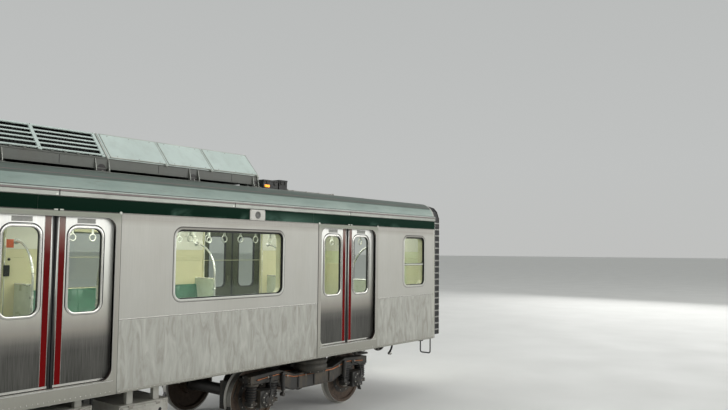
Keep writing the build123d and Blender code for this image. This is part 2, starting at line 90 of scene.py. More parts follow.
class Mat:
    """A node material: a Principled shader with procedural colour, roughness and bump."""

    def __init__(self, name):
        self.m = bpy.data.materials.new(name)
        self.m.use_nodes = True
        self.nt = self.m.node_tree
        self.out = self.nt.nodes["Material Output"]
        self.bsdf = self.nt.nodes["Principled BSDF"]
        self._co = None
        self._xyz = None

    def n(self, kind, **kw):
        node = self.nt.nodes.new(kind)
        for k, v in kw.items():
            setattr(node, k, v)
        return node

    def link(self, a, b):
        self.nt.links.new(a, b)

    def put(self, sock, v):
        if isinstance(v, bpy.types.NodeSocket):
            self.link(v, sock)
        else:
            sock.default_value = v

    def co(self):
        if self._co is None:
            self._co = self.n("ShaderNodeTexCoord").outputs["Object"]
        return self._co

    def xyz(self):
        if self._xyz is None:
            s = self.n("ShaderNodeSeparateXYZ")
            self.link(self.co(), s.inputs[0])
            self._xyz = s.outputs
        return self._xyz

    def math(self, op, a, b=None, c=None, clamp=False):
        node = self.n("ShaderNodeMath", operation=op, use_clamp=clamp)
        self.put(node.inputs[0], a)
        if b is not None:
            self.put(node.inputs[1], b)
        if c is not None:
            self.put(node.inputs[2], c)
        return node.outputs[0]

    def noise(self, scale=(1, 1, 1), size=5.0, detail=3.0, rough=0.5, distort=0.0):
        mp = self.n("ShaderNodeMapping")
        mp.inputs["Scale"].default_value = scale
        self.link(self.co(), mp.inputs[0])
        t = self.n("ShaderNodeTexNoise")
        t.inputs["Scale"].default_value = size
        t.inputs["Detail"].default_value = detail
        t.inputs["Roughness"].default_value = rough
        t.inputs["Distortion"].default_value = distort
        self.link(mp.outputs[0], t.inputs["Vector"])
        return t.outputs["Fac"]

    def ramp(self, fac, stops, interp="LINEAR"):
        r = self.n("ShaderNodeValToRGB")
        cr = r.color_ramp
        cr.interpolation = interp
        while len(cr.elements) > 1:
            cr.elements.remove(cr.elements[0])
        first = True
        for pos, col in stops:
            e = cr.elements[0] if first else cr.elements.new(pos)
            e.position = pos
            e.color = col if hasattr(col, "__len__") else g(col)
            first = False
        self.put(r.inputs[0], fac)
        return r.outputs[0]

    def span(self, v, a, b, lo=0.0, hi=1.0):
        # v from a..b to lo..hi, clamped
        mr = self.n("ShaderNodeMapRange")
        mr.clamp = True
        self.put(mr.inputs[0], v)
        for i, x in enumerate((a, b, lo, hi), 1):
            mr.inputs[i].default_value = x
        return mr.outputs[0]

    def mix(self, fac, a, b, blend="MIX"):
        m = self.n("ShaderNodeMix", data_type="RGBA", blend_type=blend)
        self.put(m.inputs[0], fac)
        self.put(m.inputs[6], a)
        self.put(m.inputs[7], b)
        return m.outputs[2]

    def bump(self, height, strength=0.3, dist=0.002):
        b = self.n("ShaderNodeBump")
        b.inputs["Strength"].default_value = strength
        b.inputs["Distance"].default_value = dist
        self.put(b.inputs["Height"], height)
        self.link(b.outputs[0], self.bsdf.inputs["Normal"])

    def set(self, color=None, rough=None, metal=0.0, spec=None, coat=None, emit=None, emit_s=0.0, alpha=None):
        bs = self.bsdf
        if color is not None:
            self.put(bs.inputs["Base Color"], color)
        if rough is not None:
            self.put(bs.inputs["Roughness"], rough)
        bs.inputs["Metallic"].default_value = metal
        if spec is not None:
            bs.inputs["Specular IOR Level"].default_value = spec
        if coat is not None:
            bs.inputs["Coat Weight"].default_value = coat[0]
            bs.inputs["Coat Roughness"].default_value = coat[1]
        if emit is not None:
            self.put(bs.inputs["Emission Color"], emit)
            bs.inputs["Emission Strength"].default_value = emit_s
        return self.m


def paint(name, base, dark=None, size=3.0, amount=0.25, rough=(0.4, 0.6), bump=0.12, metal=0.0, dust=None, spec=0.5, fine=90.0, dist=0.001):
    """Painted or moulded surface: cloudy colour, fine specks, uneven roughness."""
    m = Mat(name)
    base = lin(base)
    dark = lin(dark) if dark else tuple(c * (1 - amount) for c in base[:3]) + (1,)
    big = m.noise(size=size, detail=4, rough=0.6)
    col = m.ramp(big, ((0.32, dark), (0.62, base)))
    small = m.noise(size=fine, detail=2)
    col = m.mix(m.span(small, 0.52, 0.72, 0.0, 0.35), col, dark)
    if dust:
        x = m.noise(scale=(1, 1, 0.35), size=6.0, detail=5, rough=0.7)
        col = m.mix(m.span(x, 0.48, 0.75, 0.0, dust[1]), col, lin(dust[0]))
    m.bump(small, bump, dist)
    return m.set(col, m.span(big, 0.3, 0.7, rough[0], rough[1]), metal, spec)


def steel(name, base, dark, grain=(1, 1, 60), rough=(0.25, 0.4), metal=1.0, bump=0.08, size=4.0):
    """Brushed or polished bare steel."""
    m = Mat(name)
    fine = m.noise(scale=grain, size=6.0, detail=3, rough=0.6)
    big = m.noise(size=size, detail=3)
    col = m.ramp(fine, ((0.3, lin(dark)), (0.7, lin(base))))
    col = m.mix(m.span(big, 0.35, 0.75, 0.0, 0.45), col, lin(dark))
    m.bump(fine, bump, 0.0006)
    return m.set(col, m.span(big, 0.3, 0.7, rough[0], rough[1]), metal)


# ------------------------------------------------------------------ mesh building
class Geo:
    def __init__(self):
        self.v, self.f, self.m = [], [], []

    def face(self, pts, mi=0):
        b = len(self.v)
        self.v.extend([tuple(p) for p in pts])
        self.f.append(tuple(range(b, b + len(pts))))
        self.m.append(mi)

    def mesh(self, verts, faces, mi=0):
        b = len(self.v)
        self.v.extend([tuple(p) for p in verts])
        for f in faces:
            self.f.append(tuple(b + i for i in f))
            self.m.append(mi)

    def box(self, x0, x1, y0, y1, z0, z1, c=0.003, mi=0, tf=None):
        """A box with chamfered edges."""
        x0, x1 = sorted((x0, x1)); y0, y1 = sorted((y0, y1)); z0, z1 = sorted((z0, z1))
        c = min(c, (x1 - x0) / 2.2, (y1 - y0) / 2.2, (z1 - z0) / 2.2)
        vs, idx = [], {}
        lo, hi = (x0, y0, z0), (x1, y1, z1)
        for a in range(8):
            s = [(a >> k) & 1 for k in range(3)]
            p = [hi[k] if s[k] else lo[k] for k in range(3)]
            for k in range(3):       # one vertex on each of the three faces at this corner
                q = [p[j] if j == k else p[j] + (-c if s[j] else c) for j in range(3)]
                idx[(a, k)] = len(vs)
                vs.append(q)
        fs = []
        for k in range(3):
            i, j = (k + 1) % 3, (k + 2) % 3
            for side in (0, 1):
                base = side << k
                fs.append([idx[(base | (u << i) | (w << j), k)] for u, w in ((0, 0), (1, 0), (1, 1), (0, 1))])
        for k in range(3):           # edges along k
            i, j = (k + 1) % 3, (k + 2) % 3
            for u in (0, 1):
                for w in (0, 1):
                    b = (u << i) | (w << j)
                    fs.append([idx[(b, i)], idx[(b | (1 << k), i)], idx[(b | (1 << k), j)], idx[(b, j)]])
        for a in range(8):
            fs.append([idx[(a, k)] for k in range(3)])
        if tf:
            vs = [tf(p) for p in vs]
        self.mesh(vs, fs, mi)

    def prism(self, outline, axis, a, b, mi=0, caps=True):
        """outline in the other two axes (in x, y, z order), extruded along axis from a to b."""
        def P(u, v, w):
            return (w, u, v) if axis == "x" else (u, w, v) if axis == "y" else (u, v, w)
        n = len(outline)
        vs = [P(u, v, a) for u, v in outline] + [P(u, v, b) for u, v in outline]
        fs = [[i, (i + 1) % n, n + (i + 1) % n, n + i] for i in range(n)]
        if caps:
            fs += [list(range(n)), list(range(2 * n - 1, n - 1, -1))]
        self.mesh(vs, fs, mi)

    def sweep(self, loops, mi=0, close=False, loop_closed=True):
        """Joins loops of equal length, one after another; close joins the last to the first."""
        n = len(loops[0])
        vs = [p for l in loops for p in l]
        fs = []
        k = len(loops)
        for a in range(k if close else k - 1):
            b = (a + 1) % k
            for i in range(n if loop_closed else n - 1):
                j = (i + 1) % n
                fs.append([a * n + i, a * n + j, b * n + j, b * n + i])
        self.mesh(vs, fs, mi)

    def ring(self, cx, w, z0, z1, r, prof, mi=0, axis="y", seg=8):
        """A closed profile of (offset outward from the rounded rectangle, place along axis) swept round it."""
        loops = []
        for off, y in prof:
            loops.append([((x, y, z) if axis == "y" else (y, x, z) if axis == "x" else (x, z, y))
                          for x, z in rrect(cx, w + 2 * off, z0 - off, z1 + off, max(r + off, 0.0005), seg)])
        self.sweep(loops, mi, close=True)

    def plate(self, x0, x1, z0, z1, y, hole, mi=0, seg=8):
        """A flat face with a rounded rectangular hole (cx, w, z0, z1, r)."""
        cx, w, a, b, r = hole
        inner = rrect(cx, w, a, b, r, seg)
        outer = []
        for q in range(4):
            c = ((x1, z1), (x0, z1), (x0, z0), (x1, z0))[q]
            outer += [c] * (seg + 1)
        self.quadring([(x, y, z) for x, z in outer], [(x, y, z) for x, z in inner], mi)

    def quadring(self, outer, inner, mi=0):
        n = len(outer)
        for i in range(n):
            j = (i + 1) % n
            pts = [outer[i], outer[j], inner[j], inner[i]]
            if (Vector(outer[i]) - Vector(outer[j])).length < 1e-6:
                pts = [outer[i], inner[j], inner[i]]
            self.face(pts, mi)

    def lathe(self, origin, axis, prof, seg=24, mi=0, cap=True):
        """(radius, distance along axis) turned round an axis through origin."""
        o = Vector(origin)
        a = Vector(axis).normalized()
        u = a.orthogonal().normalized()
        w = a.cross(u)
        loops = [[o + a * d + (u * math.cos(2 * PI * i / seg) + w * math.sin(2 * PI * i / seg)) * max(r, 1e-5)
                  for i in range(seg)] for r, d in prof]
        self.sweep(loops, mi)
        if cap:
            self.face(loops[0][::-1], mi)
            self.face(loops[-1], mi)

    def bolt(self, at, axis, r=0.009, h=0.006, mi=0):
        self.lathe(at, axis, ((r * 1.35, 0), (r * 1.35, h * 0.25), (r, h * 0.25), (r, h * 0.85), (r * 0.8, h)), 6, mi)

    def rivet(self, at, axis, r=0.007, h=0.004, mi=0):
        self.lathe(at, axis, ((r, 0), (r * 0.85, h * 0.6), (r * 0.4, h)), 8, mi)

    def tube(self, pts, r, seg=10, mi=0, cap=True, fillet=0.0):
        P = [Vector(p) for p in pts]
        if fillet:
            Q = [P[0]]
            for i in range(1, len(P) - 1):
                a, b = (P[i - 1] - P[i]), (P[i + 1] - P[i])
                f = min(fillet, a.length * 0.45, b.length * 0.45)
                s, e = P[i] + a.normalized() * f, P[i] + b.normalized() * f
                for k in range(6):
                    t = k / 5
                    Q.append(s * (1 - t) ** 2 + P[i] * 2 * t * (1 - t) + e * t ** 2)
            Q.append(P[-1])
            P = Q
        t0 = (P[1] - P[0]).normalized()
        u = t0.orthogonal().normalized()
        loops = []
        for i, p in enumerate(P):
            a = (P[i] - P[i - 1]).normalized() if i else t0
            b = (P[i + 1] - P[i]).normalized() if i < len(P) - 1 else a
            t = (a + b).normalized()
            u = (u - t * u.dot(t)).normalized()
            w = t.cross(u)
            k = 1.0 / max(0.5, t.dot(a))
            loops.append([p + (u * math.cos(2 * PI * j / seg) + w * math.sin(2 * PI * j / seg)) * r * (k if k < 1.3 else 1.3) for j in range(seg)])
        self.sweep(loops, mi)
        if cap:
            self.face(loops[0][::-1], mi)
            self.face(loops[-1], mi)

    def torus(self, c, normal, R, r, seg=20, sub=8, mi=0):
        n = Vector(normal).normalized()
        u = n.orthogonal().normalized()
        w = n.cross(u)
        loops = []
        for i in range(seg):
            a = 2 * PI * i / seg
            d = u * math.cos(a) + w * math.sin(a)
            loops.append([Vector(c) + d * (R + r * math.cos(2 * PI * j / sub)) + n * r * math.sin(2 * PI * j / sub) for j in range(sub)])
        self.sweep(loops, mi, close=True)

    def bar(self, a, b, wide, thick, up=(0, 0, 1), c=0.002, mi=0):
        """A chamfered bar from a to b; wide is across, thick is along up."""
        a, b = Vector(a), Vector(b)
        t = (b - a).normalized()
        n = Vector(up)
        n = (n - t * n.dot(t)).normalized()
        s = t.cross(n)
        L = (b - a).length
        self.box(0, L, -wide / 2, wide / 2, -thick / 2, thick / 2, c, mi, tf=lambda p: a + t * p[0] + s * p[1] + n * p[2])

    def turned(self):
        """Adds the same thing at the other end of the car."""
        n = len(self.v)
        self.v += [(-p[0], -p[1], p[2]) for p in self.v]
        self.f += [tuple(i + n for i in f) for f in self.f]
        self.m += list(self.m)
        return self

    def mirror_y(self):
        n = len(self.v)
        self.v += [(p[0], -p[1], p[2]) for p in self.v]
        self.f += [tuple(i + n for i in reversed(f)) for f in self.f]
        self.m += list(self.m)
        return self

    def mirror_x(self):
        n = len(self.v)
        self.v += [(-p[0], p[1], p[2]) for p in self.v]
        self.f += [tuple(i + n for i in reversed(f)) for f in self.f]
        self.m += list(self.m)
        return self


def rrect(cx, w, z0, z1, r, seg=8):
    """Rounded rectangle, counterclockwise from the right side's top corner."""
    r = max(0.0005, min(r, w / 2 - 1e-4, (z1 - z0) / 2 - 1e-4))
    out = []
    for k, (sx, sz) in enumerate(((1, 1), (-1, 1), (-1, -1), (1, -1))):
        ox = cx + sx * (w / 2 - r)
        oz = (z1 - r) if sz > 0 else (z0 + r)
        for i in range(seg + 1):
            a = PI / 2 * (k + i / seg)
            out.append((ox + r * math.cos(a), oz + r * math.sin(a)))
    return out


TRIS = {}


def piece(name, geo, mats, body="car_body", replaces=None, smooth=38, merge=0.0):
    me = bpy.data.meshes.new(name)
    me.from_pydata([tuple(p) for p in geo.v], [], geo.f)
    for m in (mats if isinstance(mats, (list, tuple)) else [mats]):
        me.materials.append(m)
    me.polygons.foreach_set("material_index", geo.m)
    me.update()
    bm = bmesh.new()
    bm.from_mesh(me)
    bmesh.ops.remove_doubles(bm, verts=bm.verts, dist=1e-6)
    bmesh.ops.dissolve_degenerate(bm, dist=1e-7, edges=bm.edges)
    bmesh.ops.recalc_face_normals(bm, faces=bm.faces)
    bm.to_mesh(me)
    bm.free()
    me.shade_smooth()
    me.set_sharp_from_angle(angle=math.radians(smooth))
    ob = bpy.data.objects.new(name, me)
    scene.collection.objects.link(ob)
    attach(ob, body)
    if replaces:
        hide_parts(*([replaces] if isinstance(replaces, str) else replaces))
    TRIS[name] = sum(len(p.vertices) - 2 for p in me.polygons)
    return ob


def cad(mat, *names):
    for nm in names:
        o = NODES[nm]
        if not o.material_slots:
            o.data.materials.append(mat)
        for s in o.material_slots:
            s.material = mat


# ------------------------------------------------------------------ materials
def wall_material():
    m = Mat("brushed_wall")
    x, y, z = m.xyz()
    ay = m.math("ABSOLUTE", y)
    grain = m.noise(scale=(55, 55, 1.2), size=3.0, detail=3, rough=0.6)
    cloud = m.noise(scale=(1, 1, 0.6), size=1.3, detail=4, rough=0.6)
    col = m.ramp(grain, ((0.25, lin((169, 169, 163))), (0.75, lin((179, 178, 172)))))
    col = m.mix(m.span(cloud, 0.35, 0.7, 0.0, 0.55), col, lin((167, 165, 157)))
    # painted shade: darker towards the top of the wall, under the band
    col = m.mix(m.span(z, 2.90, 2.985, 0.0, 0.55), col, lin((140, 136, 127)))
    streak = m.noise(scale=(6.5, 6.5, 1.5), size=1.5, detail=5, rough=0.58, distort=1.5)
    low = m.ramp(streak, ((0.32, lin((150, 148, 140))), (0.5, lin((166, 166, 159))), (0.68, lin((180, 180, 173)))))
    col = m.mix(m.span(z, 1.845, 1.80), col, low)
    dirt = m.noise(scale=(5, 5, 1), size=4.0, detail=5, rough=0.7)
    col = m.mix(m.math("MULTIPLY", m.span(z, 1.16, 0.99, 0.0, 0.5), m.span(dirt, 0.4, 0.65)), col, lin((120, 116, 104)))
    cream = m.mix(m.span(m.noise(size=9, detail=3), 0.4, 0.7, 0.0, 0.35), lin((208, 202, 166)), lin((200, 195, 157)))
    cream = m.mix(m.span(z, 2.606, 2.614), cream, lin((214, 212, 198)))
    line = m.math("COMPARE", z, 2.610, 0.004)
    cream = m.mix(m.math("MULTIPLY", line, 0.35), cream, lin((150, 152, 128)))
    line2 = m.math("COMPARE", z, 2.491, 0.003)
    cream = m.mix(m.math("MULTIPLY", line2, 0.25), cream, lin((150, 152, 128)))
    inside = m.span(ay, 1.3745, 1.3715)
    col = m.mix(inside, col, cream)
    h = m.mix(m.span(z, 1.845, 1.80), grain, streak)
    m.bump(h, 0.10, 0.0012)
    m.bsdf.inputs["Anisotropic"].default_value = 0.3
    m.set(col, m.span(cloud, 0.3, 0.7, 0.42, 0.55), 0.0, 0.5)
    m.link(m.span(ay, 1.3715, 1.3745, 0.0, 0.45), m.bsdf.inputs["Metallic"])
    return m.m


def roof_material():
    m = Mat("roof_zones")
    x, y, z = m.xyz()
    ay = m.math("ABSOLUTE", y)
    cloud = m.noise(scale=(0.5, 1.2, 1.2), size=3.0, detail=5, rough=0.65)
    fine = m.noise(size=120, detail=2)
    lower = m.mix(m.span(cloud, 0.35, 0.65), lin((134, 151, 144)), lin((151, 166, 159)))
    upper = m.mix(m.span(cloud, 0.35, 0.65), lin((78, 90, 83)), lin((94, 106, 99)))
    col = m.mix(m.span(ay, 1.402, 1.396), lower, upper)
    crown = m.mix(m.span(m.noise(size=6, detail=4), 0.4, 0.7), lin((112, 120, 115)), lin((94, 100, 95)))
    col = m.mix(m.span(ay, 1.205, 1.195), col, crown)
    stain = m.noise(scale=(1.2, 7, 7), size=3.0, detail=6, rough=0.7)
    col = m.mix(m.span(stain, 0.52, 0.72, 0.0, 0.35), col, lin((118, 112, 98)))
    steelc = m.mix(m.span(m.noise(scale=(55, 55, 1.2), size=3.0, detail=3), 0.3, 0.7), lin((158, 155, 148)), lin((168, 165, 158)))
    col = m.mix(m.span(z, 3.286, 3.282), col, steelc)
    m.bump(m.math("ADD", m.math("MULTIPLY", cloud, 0.6), m.math("MULTIPLY", fine, 0.4)), 0.12, 0.002)
    m.set(col, m.span(cloud, 0.3, 0.7, 0.38, 0.55), 0.12, 0.5)
    return m.m


def under_material():
    m = Mat("underframe_zones")
    x, y, z = m.xyz()
    ay = m.math("ABSOLUTE", y)
    big = m.noise(size=3.5, detail=5, rough=0.65)
    col = m.mix(m.span(big, 0.35, 0.7), lin((62, 61, 57)), lin((40, 39, 37)))
    dust = m.noise(scale=(1, 1, 3), size=9, detail=6, rough=0.7)
    col = m.mix(m.span(dust, 0.5, 0.75, 0.0, 0.5), col, lin((96, 88, 74)))
    sill = m.mix(m.span(m.noise(scale=(14, 14, 1.6), size=1.6, detail=6, distort=1.3), 0.35, 0.65), lin((150, 150, 143)), lin((198, 199, 193)))
    col = m.mix(m.span(ay, 1.337, 1.341), col, sill)
    vinyl = m.mix(m.span(m.noise(size=160, detail=2), 0.45, 0.62), lin((112, 116, 112)), lin((76, 80, 78)))
    floor = m.math("MULTIPLY", m.span(z, 1.1565, 1.1572), m.span(ay, 1.341, 1.339))
    col = m.mix(floor, col, vinyl)
    m.bump(m.math("ADD", big, dust), 0.15, 0.002)
    return m.set(col, m.span(dust, 0.3, 0.7, 0.5, 0.75), 0.05, 0.4)


def end_material():
    m = Mat("end_wall_zones")
    x, y, z = m.xyz()
    ax = m.math("ABSOLUTE", x)
    grain = m.noise(scale=(60, 60, 1.2), size=3.0, detail=3)
    col = m.ramp(grain, ((0.3, lin((160, 160, 155))), (0.7, lin((182, 183, 179)))))
    dirt = m.noise(scale=(4, 4, 0.8), size=3.0, detail=6, rough=0.7)
    col = m.mix(m.span(dirt, 0.45, 0.75, 0.0, 0.55), col, lin((122, 118, 107)))
    cream = m.mix(m.span(m.noise(size=9, detail=3), 0.4, 0.7, 0.0, 0.35), lin((208, 211, 178)), lin((194, 199, 160)))
    cream = m.mix(m.span(z, 2.606, 2.614), cream, lin((214, 212, 198)))
    col = m.mix(m.span(ax, 9.7665, 9.7635), col, cream)
    m.bump(grain, 0.1, 0.001)
    return m.set(col, m.span(dirt, 0.3, 0.7, 0.4, 0.6), 0.3, 0.5)


def leaf_material():
    """Satin stainless with a painted reflection: near-white at the head and near-black towards the foot, with cloudy
    darker patches of painted reflection haze.
    """
    m = Mat("leaf_steel")
    x, y, z = m.xyz()
    grain = m.noise(scale=(70, 70, 1.0), size=3.0, detail=3, rough=0.6)
    band = m.noise(scale=(3, 1, 0.5), size=2.0, detail=3)
    # painted reflection: the colour runs from near-black at the foot to near-white at the head
    col = m.ramp(m.span(z, 1.16, 3.02), ((0.0, lin((46, 46, 42))), (0.20, lin((50, 49, 46))), (0.26, lin((84, 82, 78))), (0.32, lin((138, 134, 126))), (0.40, lin((168, 166, 157))),
                 (0.55, lin((204, 205, 196))), (0.78, lin((230, 231, 224))), (1.0, lin((246, 246, 242)))))
    col = m.mix(m.span(grain, 0.35, 0.7, 0.0, 0.22), col, lin((148, 148, 142)))
    # cloudy darker patches: painted reflection haze
    col = m.mix(m.span(band, 0.45, 0.75, 0.0, 0.15), col, lin((120, 118, 112)))
    m.bump(grain, 0.08, 0.0008)
    return m.set(col, m.span(band, 0.3, 0.7, 0.3, 0.42), 0.45, 0.5)


def leaf_inside_material():
    m = Mat("leaf_inner")
    grain = m.noise(scale=(70, 70, 1.0), size=3.0, detail=3)
    col = m.ramp(grain, ((0.3, lin((50, 54, 38))), (0.7, lin((66, 70, 51)))))
    m.bump(grain, 0.08, 0.0008)
    return m.set(col, m.span(grain, 0.3, 0.7, 0.35, 0.5), 0.3)


def frame_material():
    """Pressed steel frame round a doorway, with painted shade: darker at its foot and under the band at its head."""
    m = Mat("doorway_frame")
    x, y, z = m.xyz()
    fine = m.noise(scale=(40, 40, 1.5), size=3.0, detail=3)
    big = m.noise(size=3.0, detail=3)
    # painted shade: darker at the foot, lightest high up, darker again just under the band
    col = m.ramp(m.span(z, 1.0, 3.035), ((0.0, lin((138, 137, 128))), (0.08, lin((150, 149, 140))), (0.5, lin((158, 155, 147))), (0.94, lin((164, 162, 155))), (0.985, lin((136, 140, 127)))))
    col = m.mix(m.span(fine, 0.35, 0.7, 0.0, 0.3), col, lin((136, 134, 126)))
    m.bump(fine, 0.06, 0.0006)
    return m.set(col, m.span(big, 0.3, 0.7, 0.36, 0.5), 0.25, 0.5)


def window_rim_material():
    """Bright rim of a side window, with painted shade along its head: darker towards the top."""
    m = Mat("window_rim_painted_shade")
    x, y, z = m.xyz()
    grain = m.noise(scale=(30, 30, 30), size=3.0, detail=2)
    # painted shade: the rim darkens along its head
    col = m.ramp(m.span(z, 2.79, 2.89), ((0.0, lin((204, 204, 198))), (0.6, lin((160, 159, 153))), (1.0, lin((118, 116, 110)))))
    col = m.mix(m.span(grain, 0.35, 0.7, 0.0, 0.25), col, lin((132, 131, 125)))
    m.bump(grain, 0.05, 0.0005)
    return m.set(col, m.span(grain, 0.3, 0.7, 0.34, 0.46), 0.55, 0.5)


def red_material():
    m = Mat("red_band_painted_reflection")
    x, y, z = m.xyz()
    cloud = m.noise(scale=(2, 2, 0.8), size=3.0, detail=4)
    # painted reflection: deep red low down, paling to greyish pink towards the head
    col = m.ramp(m.span(z, 1.16, 3.02), ((0.0, lin((112, 6, 8))), (0.5, lin((100, 5, 7))), (0.66, lin((98, 8, 9))), (0.76, lin((100, 28, 28))), (0.85, lin((128, 86, 80))), (0.91, lin((146, 122, 115))), (1.0, lin((152, 140, 134)))))
    col = m.mix(m.span(cloud, 0.4, 0.75, 0.0, 0.3), col, lin((92, 8, 10)))
    m.bump(m.noise(size=200, detail=2), 0.05, 0.0005)
    return m.set(col, m.span(cloud, 0.3, 0.7, 0.3, 0.44), 0.0, 0.05)


def green_material():
    m = Mat("green_band")
    x, y, z = m.xyz()
    cloud = m.noise(scale=(0.7, 1, 2.4), size=1.6, detail=4, rough=0.55, distort=0.6)
    ax = m.math("ABSOLUTE", x)
    # painted reflection: pale hazy patches low on the band from |x| 3 outwards, larger ones around |x| 5.4 to 6.9
    green_reflection_far_zone = m.math("MULTIPLY", m.span(ax, 5.30, 5.42), m.span(ax, 6.9, 5.7))
    green_painted_reflection_puffs = m.math("MULTIPLY", m.span(cloud, 0.30, 0.52), m.span(z, 3.185, 3.07))
    green_painted_reflection = m.math("MULTIPLY", m.span(cloud, 0.52, 0.68), m.span(z, 3.15, 3.06))
    green_painted_reflection = m.math("MULTIPLY", green_painted_reflection, m.span(ax, 2.9, 3.9))
    green_painted_reflection = m.math("MAXIMUM", green_painted_reflection, m.math("MULTIPLY", green_painted_reflection_puffs, green_reflection_far_zone))
    # the dark green grades lighter from x -1 towards the front end
    base = m.mix(m.span(x, -1.0, 8.0), lin((3, 27, 15)), lin((15, 42, 32)))
    col = m.mix(m.math("MULTIPLY", green_painted_reflection, 0.85), base, lin((84, 112, 100)))
    fine = m.noise(size=150, detail=2)
    m.bump(fine, 0.05, 0.0005)
    return m.set(col, m.span(cloud, 0.3, 0.7, 0.34, 0.46), 0.0, 0.02)


def glass_material(name, tint, rough=0.02, body=0.0):
    m = Mat(name)
    m.nt.nodes.remove(m.bsdf)
    tr = m.n("ShaderNodeBsdfTransparent")
    tr.inputs[0].default_value = lin(tint)
    gl = m.n("ShaderNodeBsdfGlossy")
    dust = m.noise(scale=(1, 1, 0.5), size=5.0, detail=4)
    m.link(m.span(dust, 0.35, 0.75, rough, rough + 0.06), gl.inputs["Roughness"])
    m.link(m.ramp(dust, ((0.3, lin((232, 240, 236))), (0.7, lin((214, 224, 219))))), gl.inputs["Color"])
    lw = m.n("ShaderNodeLayerWeight")
    lw.inputs["Blend"].default_value = 0.5
    fac = m.math("MULTIPLY_ADD", m.math("POWER", lw.outputs["Facing"], 3.5), 0.55, 0.035)
    bp = m.n("ShaderNodeBump")
    bp.inputs["Strength"].default_value = 0.02
    bp.inputs["Distance"].default_value = 0.001
    m.link(dust, bp.inputs["Height"])
    m.link(bp.outputs[0], gl.inputs["Normal"])
    mx = m.n("ShaderNodeMixShader")
    m.link(fac, mx.inputs[0])
    m.link(tr.outputs[0], mx.inputs[1])
    m.link(gl.outputs[0], mx.inputs[2])
    m.link(mx.outputs[0], m.out.inputs["Surface"])
    return m.m


def wheel_material():
    """Rusty web, oily hub and a tread worn bright, by the radius from the axle."""
    m = Mat("wheel_zones")
    x, y, z = m.xyz()
    ax = m.math("ABSOLUTE", x)
    dx = m.math("SUBTRACT", m.math("ABSOLUTE", m.math("SUBTRACT", ax, 6.9)), 1.05)
    dz = m.math("SUBTRACT", z, 0.458)
    rad = m.math("SQRT", m.math("ADD", m.math("POWER", dx, 2.0), m.math("POWER", dz, 2.0)))
    rust = m.noise(size=18, detail=6, rough=0.7)
    col = m.mix(m.span(rust, 0.35, 0.7), lin((84, 68, 54)), lin((54, 44, 38)))
    col = m.mix(m.span(rad, 0.424, 0.430), col, lin((176, 174, 168)))
    col = m.mix(m.span(rad, 0.105, 0.095), col, lin((58, 56, 53)))
    m.bump(rust, 0.2, 0.002)
    m.set(col, m.span(rust, 0.3, 0.7, 0.45, 0.7), 0.0, 0.5)
    m.link(m.span(rad, 0.424, 0.430, 0.25, 0.95), m.bsdf.inputs["Metallic"])
    return m.m


def glow_material(name, colour, strength, size=40):
    m = Mat(name)
    nz = m.noise(size=size, detail=2)
    col = m.mix(m.span(nz, 0.3, 0.7), lin(colour), tuple(c * 0.86 for c in lin(colour)[:3]) + (1,))
    m.bump(nz, 0.05, 0.001)
    return m.set(col, m.span(nz, 0.3, 0.7, 0.3, 0.4), 0.0, 0.5, emit=col, emit_s=strength)


WALL = wall_material()
ROOF = roof_material()
UNDER = under_material()
ENDS = end_material()
LEAF = leaf_material()
LEAF_IN = leaf_inside_material()
RED = red_material()
GREEN = green_material()
GLASS_M = glass_material("window_pane", (240, 243, 240))
GLASS_D = glass_material("door_pane", (224, 229, 223))
WHEEL = wheel_material()
WIN_RIM = window_rim_material()
CHROME = steel("rim_chrome", (208, 208, 203), (170, 169, 164), grain=(30, 30, 30), rough=(0.16, 0.26))
FRAME = frame_material()
# dark reddish brown: painted shade with a painted reddish reflection, for the doorways' reveals
REVEAL_PAINTED_SHADE = paint("reveal_painted_shade", (62, 46, 42), (40, 32, 30), rough=(0.25, 0.4), bump=0.05)
RUBBER = paint("black_rubber", (26, 26, 27), (14, 14, 15), rough=(0.45, 0.65), bump=0.2, fine=220, spec=0.4)
RUBBER_D = paint("dusty_rubber", (66, 64, 58), (42, 41, 38), size=5, rough=(0.55, 0.8), bump=0.25, fine=160, dust=((104, 98, 86), 0.4))
GUT_L = paint("gutter_light", (158, 162, 155), (132, 134, 128), size=2.0, rough=(0.3, 0.45), bump=0.06, metal=0.5)
GUT_T = paint("gutter_top", (168, 176, 170), (140, 148, 142), size=2.0, rough=(0.3, 0.45), bump=0.05, metal=0.4)
GUT_D = paint("gutter_mauve", (126, 116, 113), (98, 90, 89), size=2.0, rough=(0.35, 0.5), bump=0.06, metal=0.3)
GUT_B = paint("gutter_bright", (196, 198, 190), (166, 170, 162), size=2.0, rough=(0.3, 0.4), bump=0.05, metal=0.5)
# dark grey for real joints; in a few places also painted shadow and painted shade
DARKLINE = paint("joint_and_painted_shadow_dark", (52, 48, 48), (36, 34, 34), rough=(0.5, 0.7), bump=0.1)
PLATE_G = paint("blank_plate", (146, 147, 142), (120, 121, 116), size=20, rough=(0.4, 0.5), bump=0.08, metal=0.3)
WHITE_P = paint("white_cover", (206, 204, 198), (182, 180, 172), size=6, rough=(0.35, 0.5), bump=0.08)
GREY_P = paint("grey_grille", (128, 128, 124), (96, 96, 92), size=12, rough=(0.4, 0.6), bump=0.15)
AC_PANEL = paint("roof_unit_panel", (204, 218, 212), (190, 204, 198), size=1.2, rough=(0.3, 0.45), bump=0.06, dust=((150, 158, 150), 0.3))
# dark grey: painted shade, as the beam looks in the shade under the panels; the dust is real
AC_BEAM_PAINTED_SHADE = paint("roof_unit_beam", (98, 101, 95), (80, 83, 78), size=1.5, rough=(0.45, 0.6), bump=0.12, dust=((84, 80, 72), 0.4))
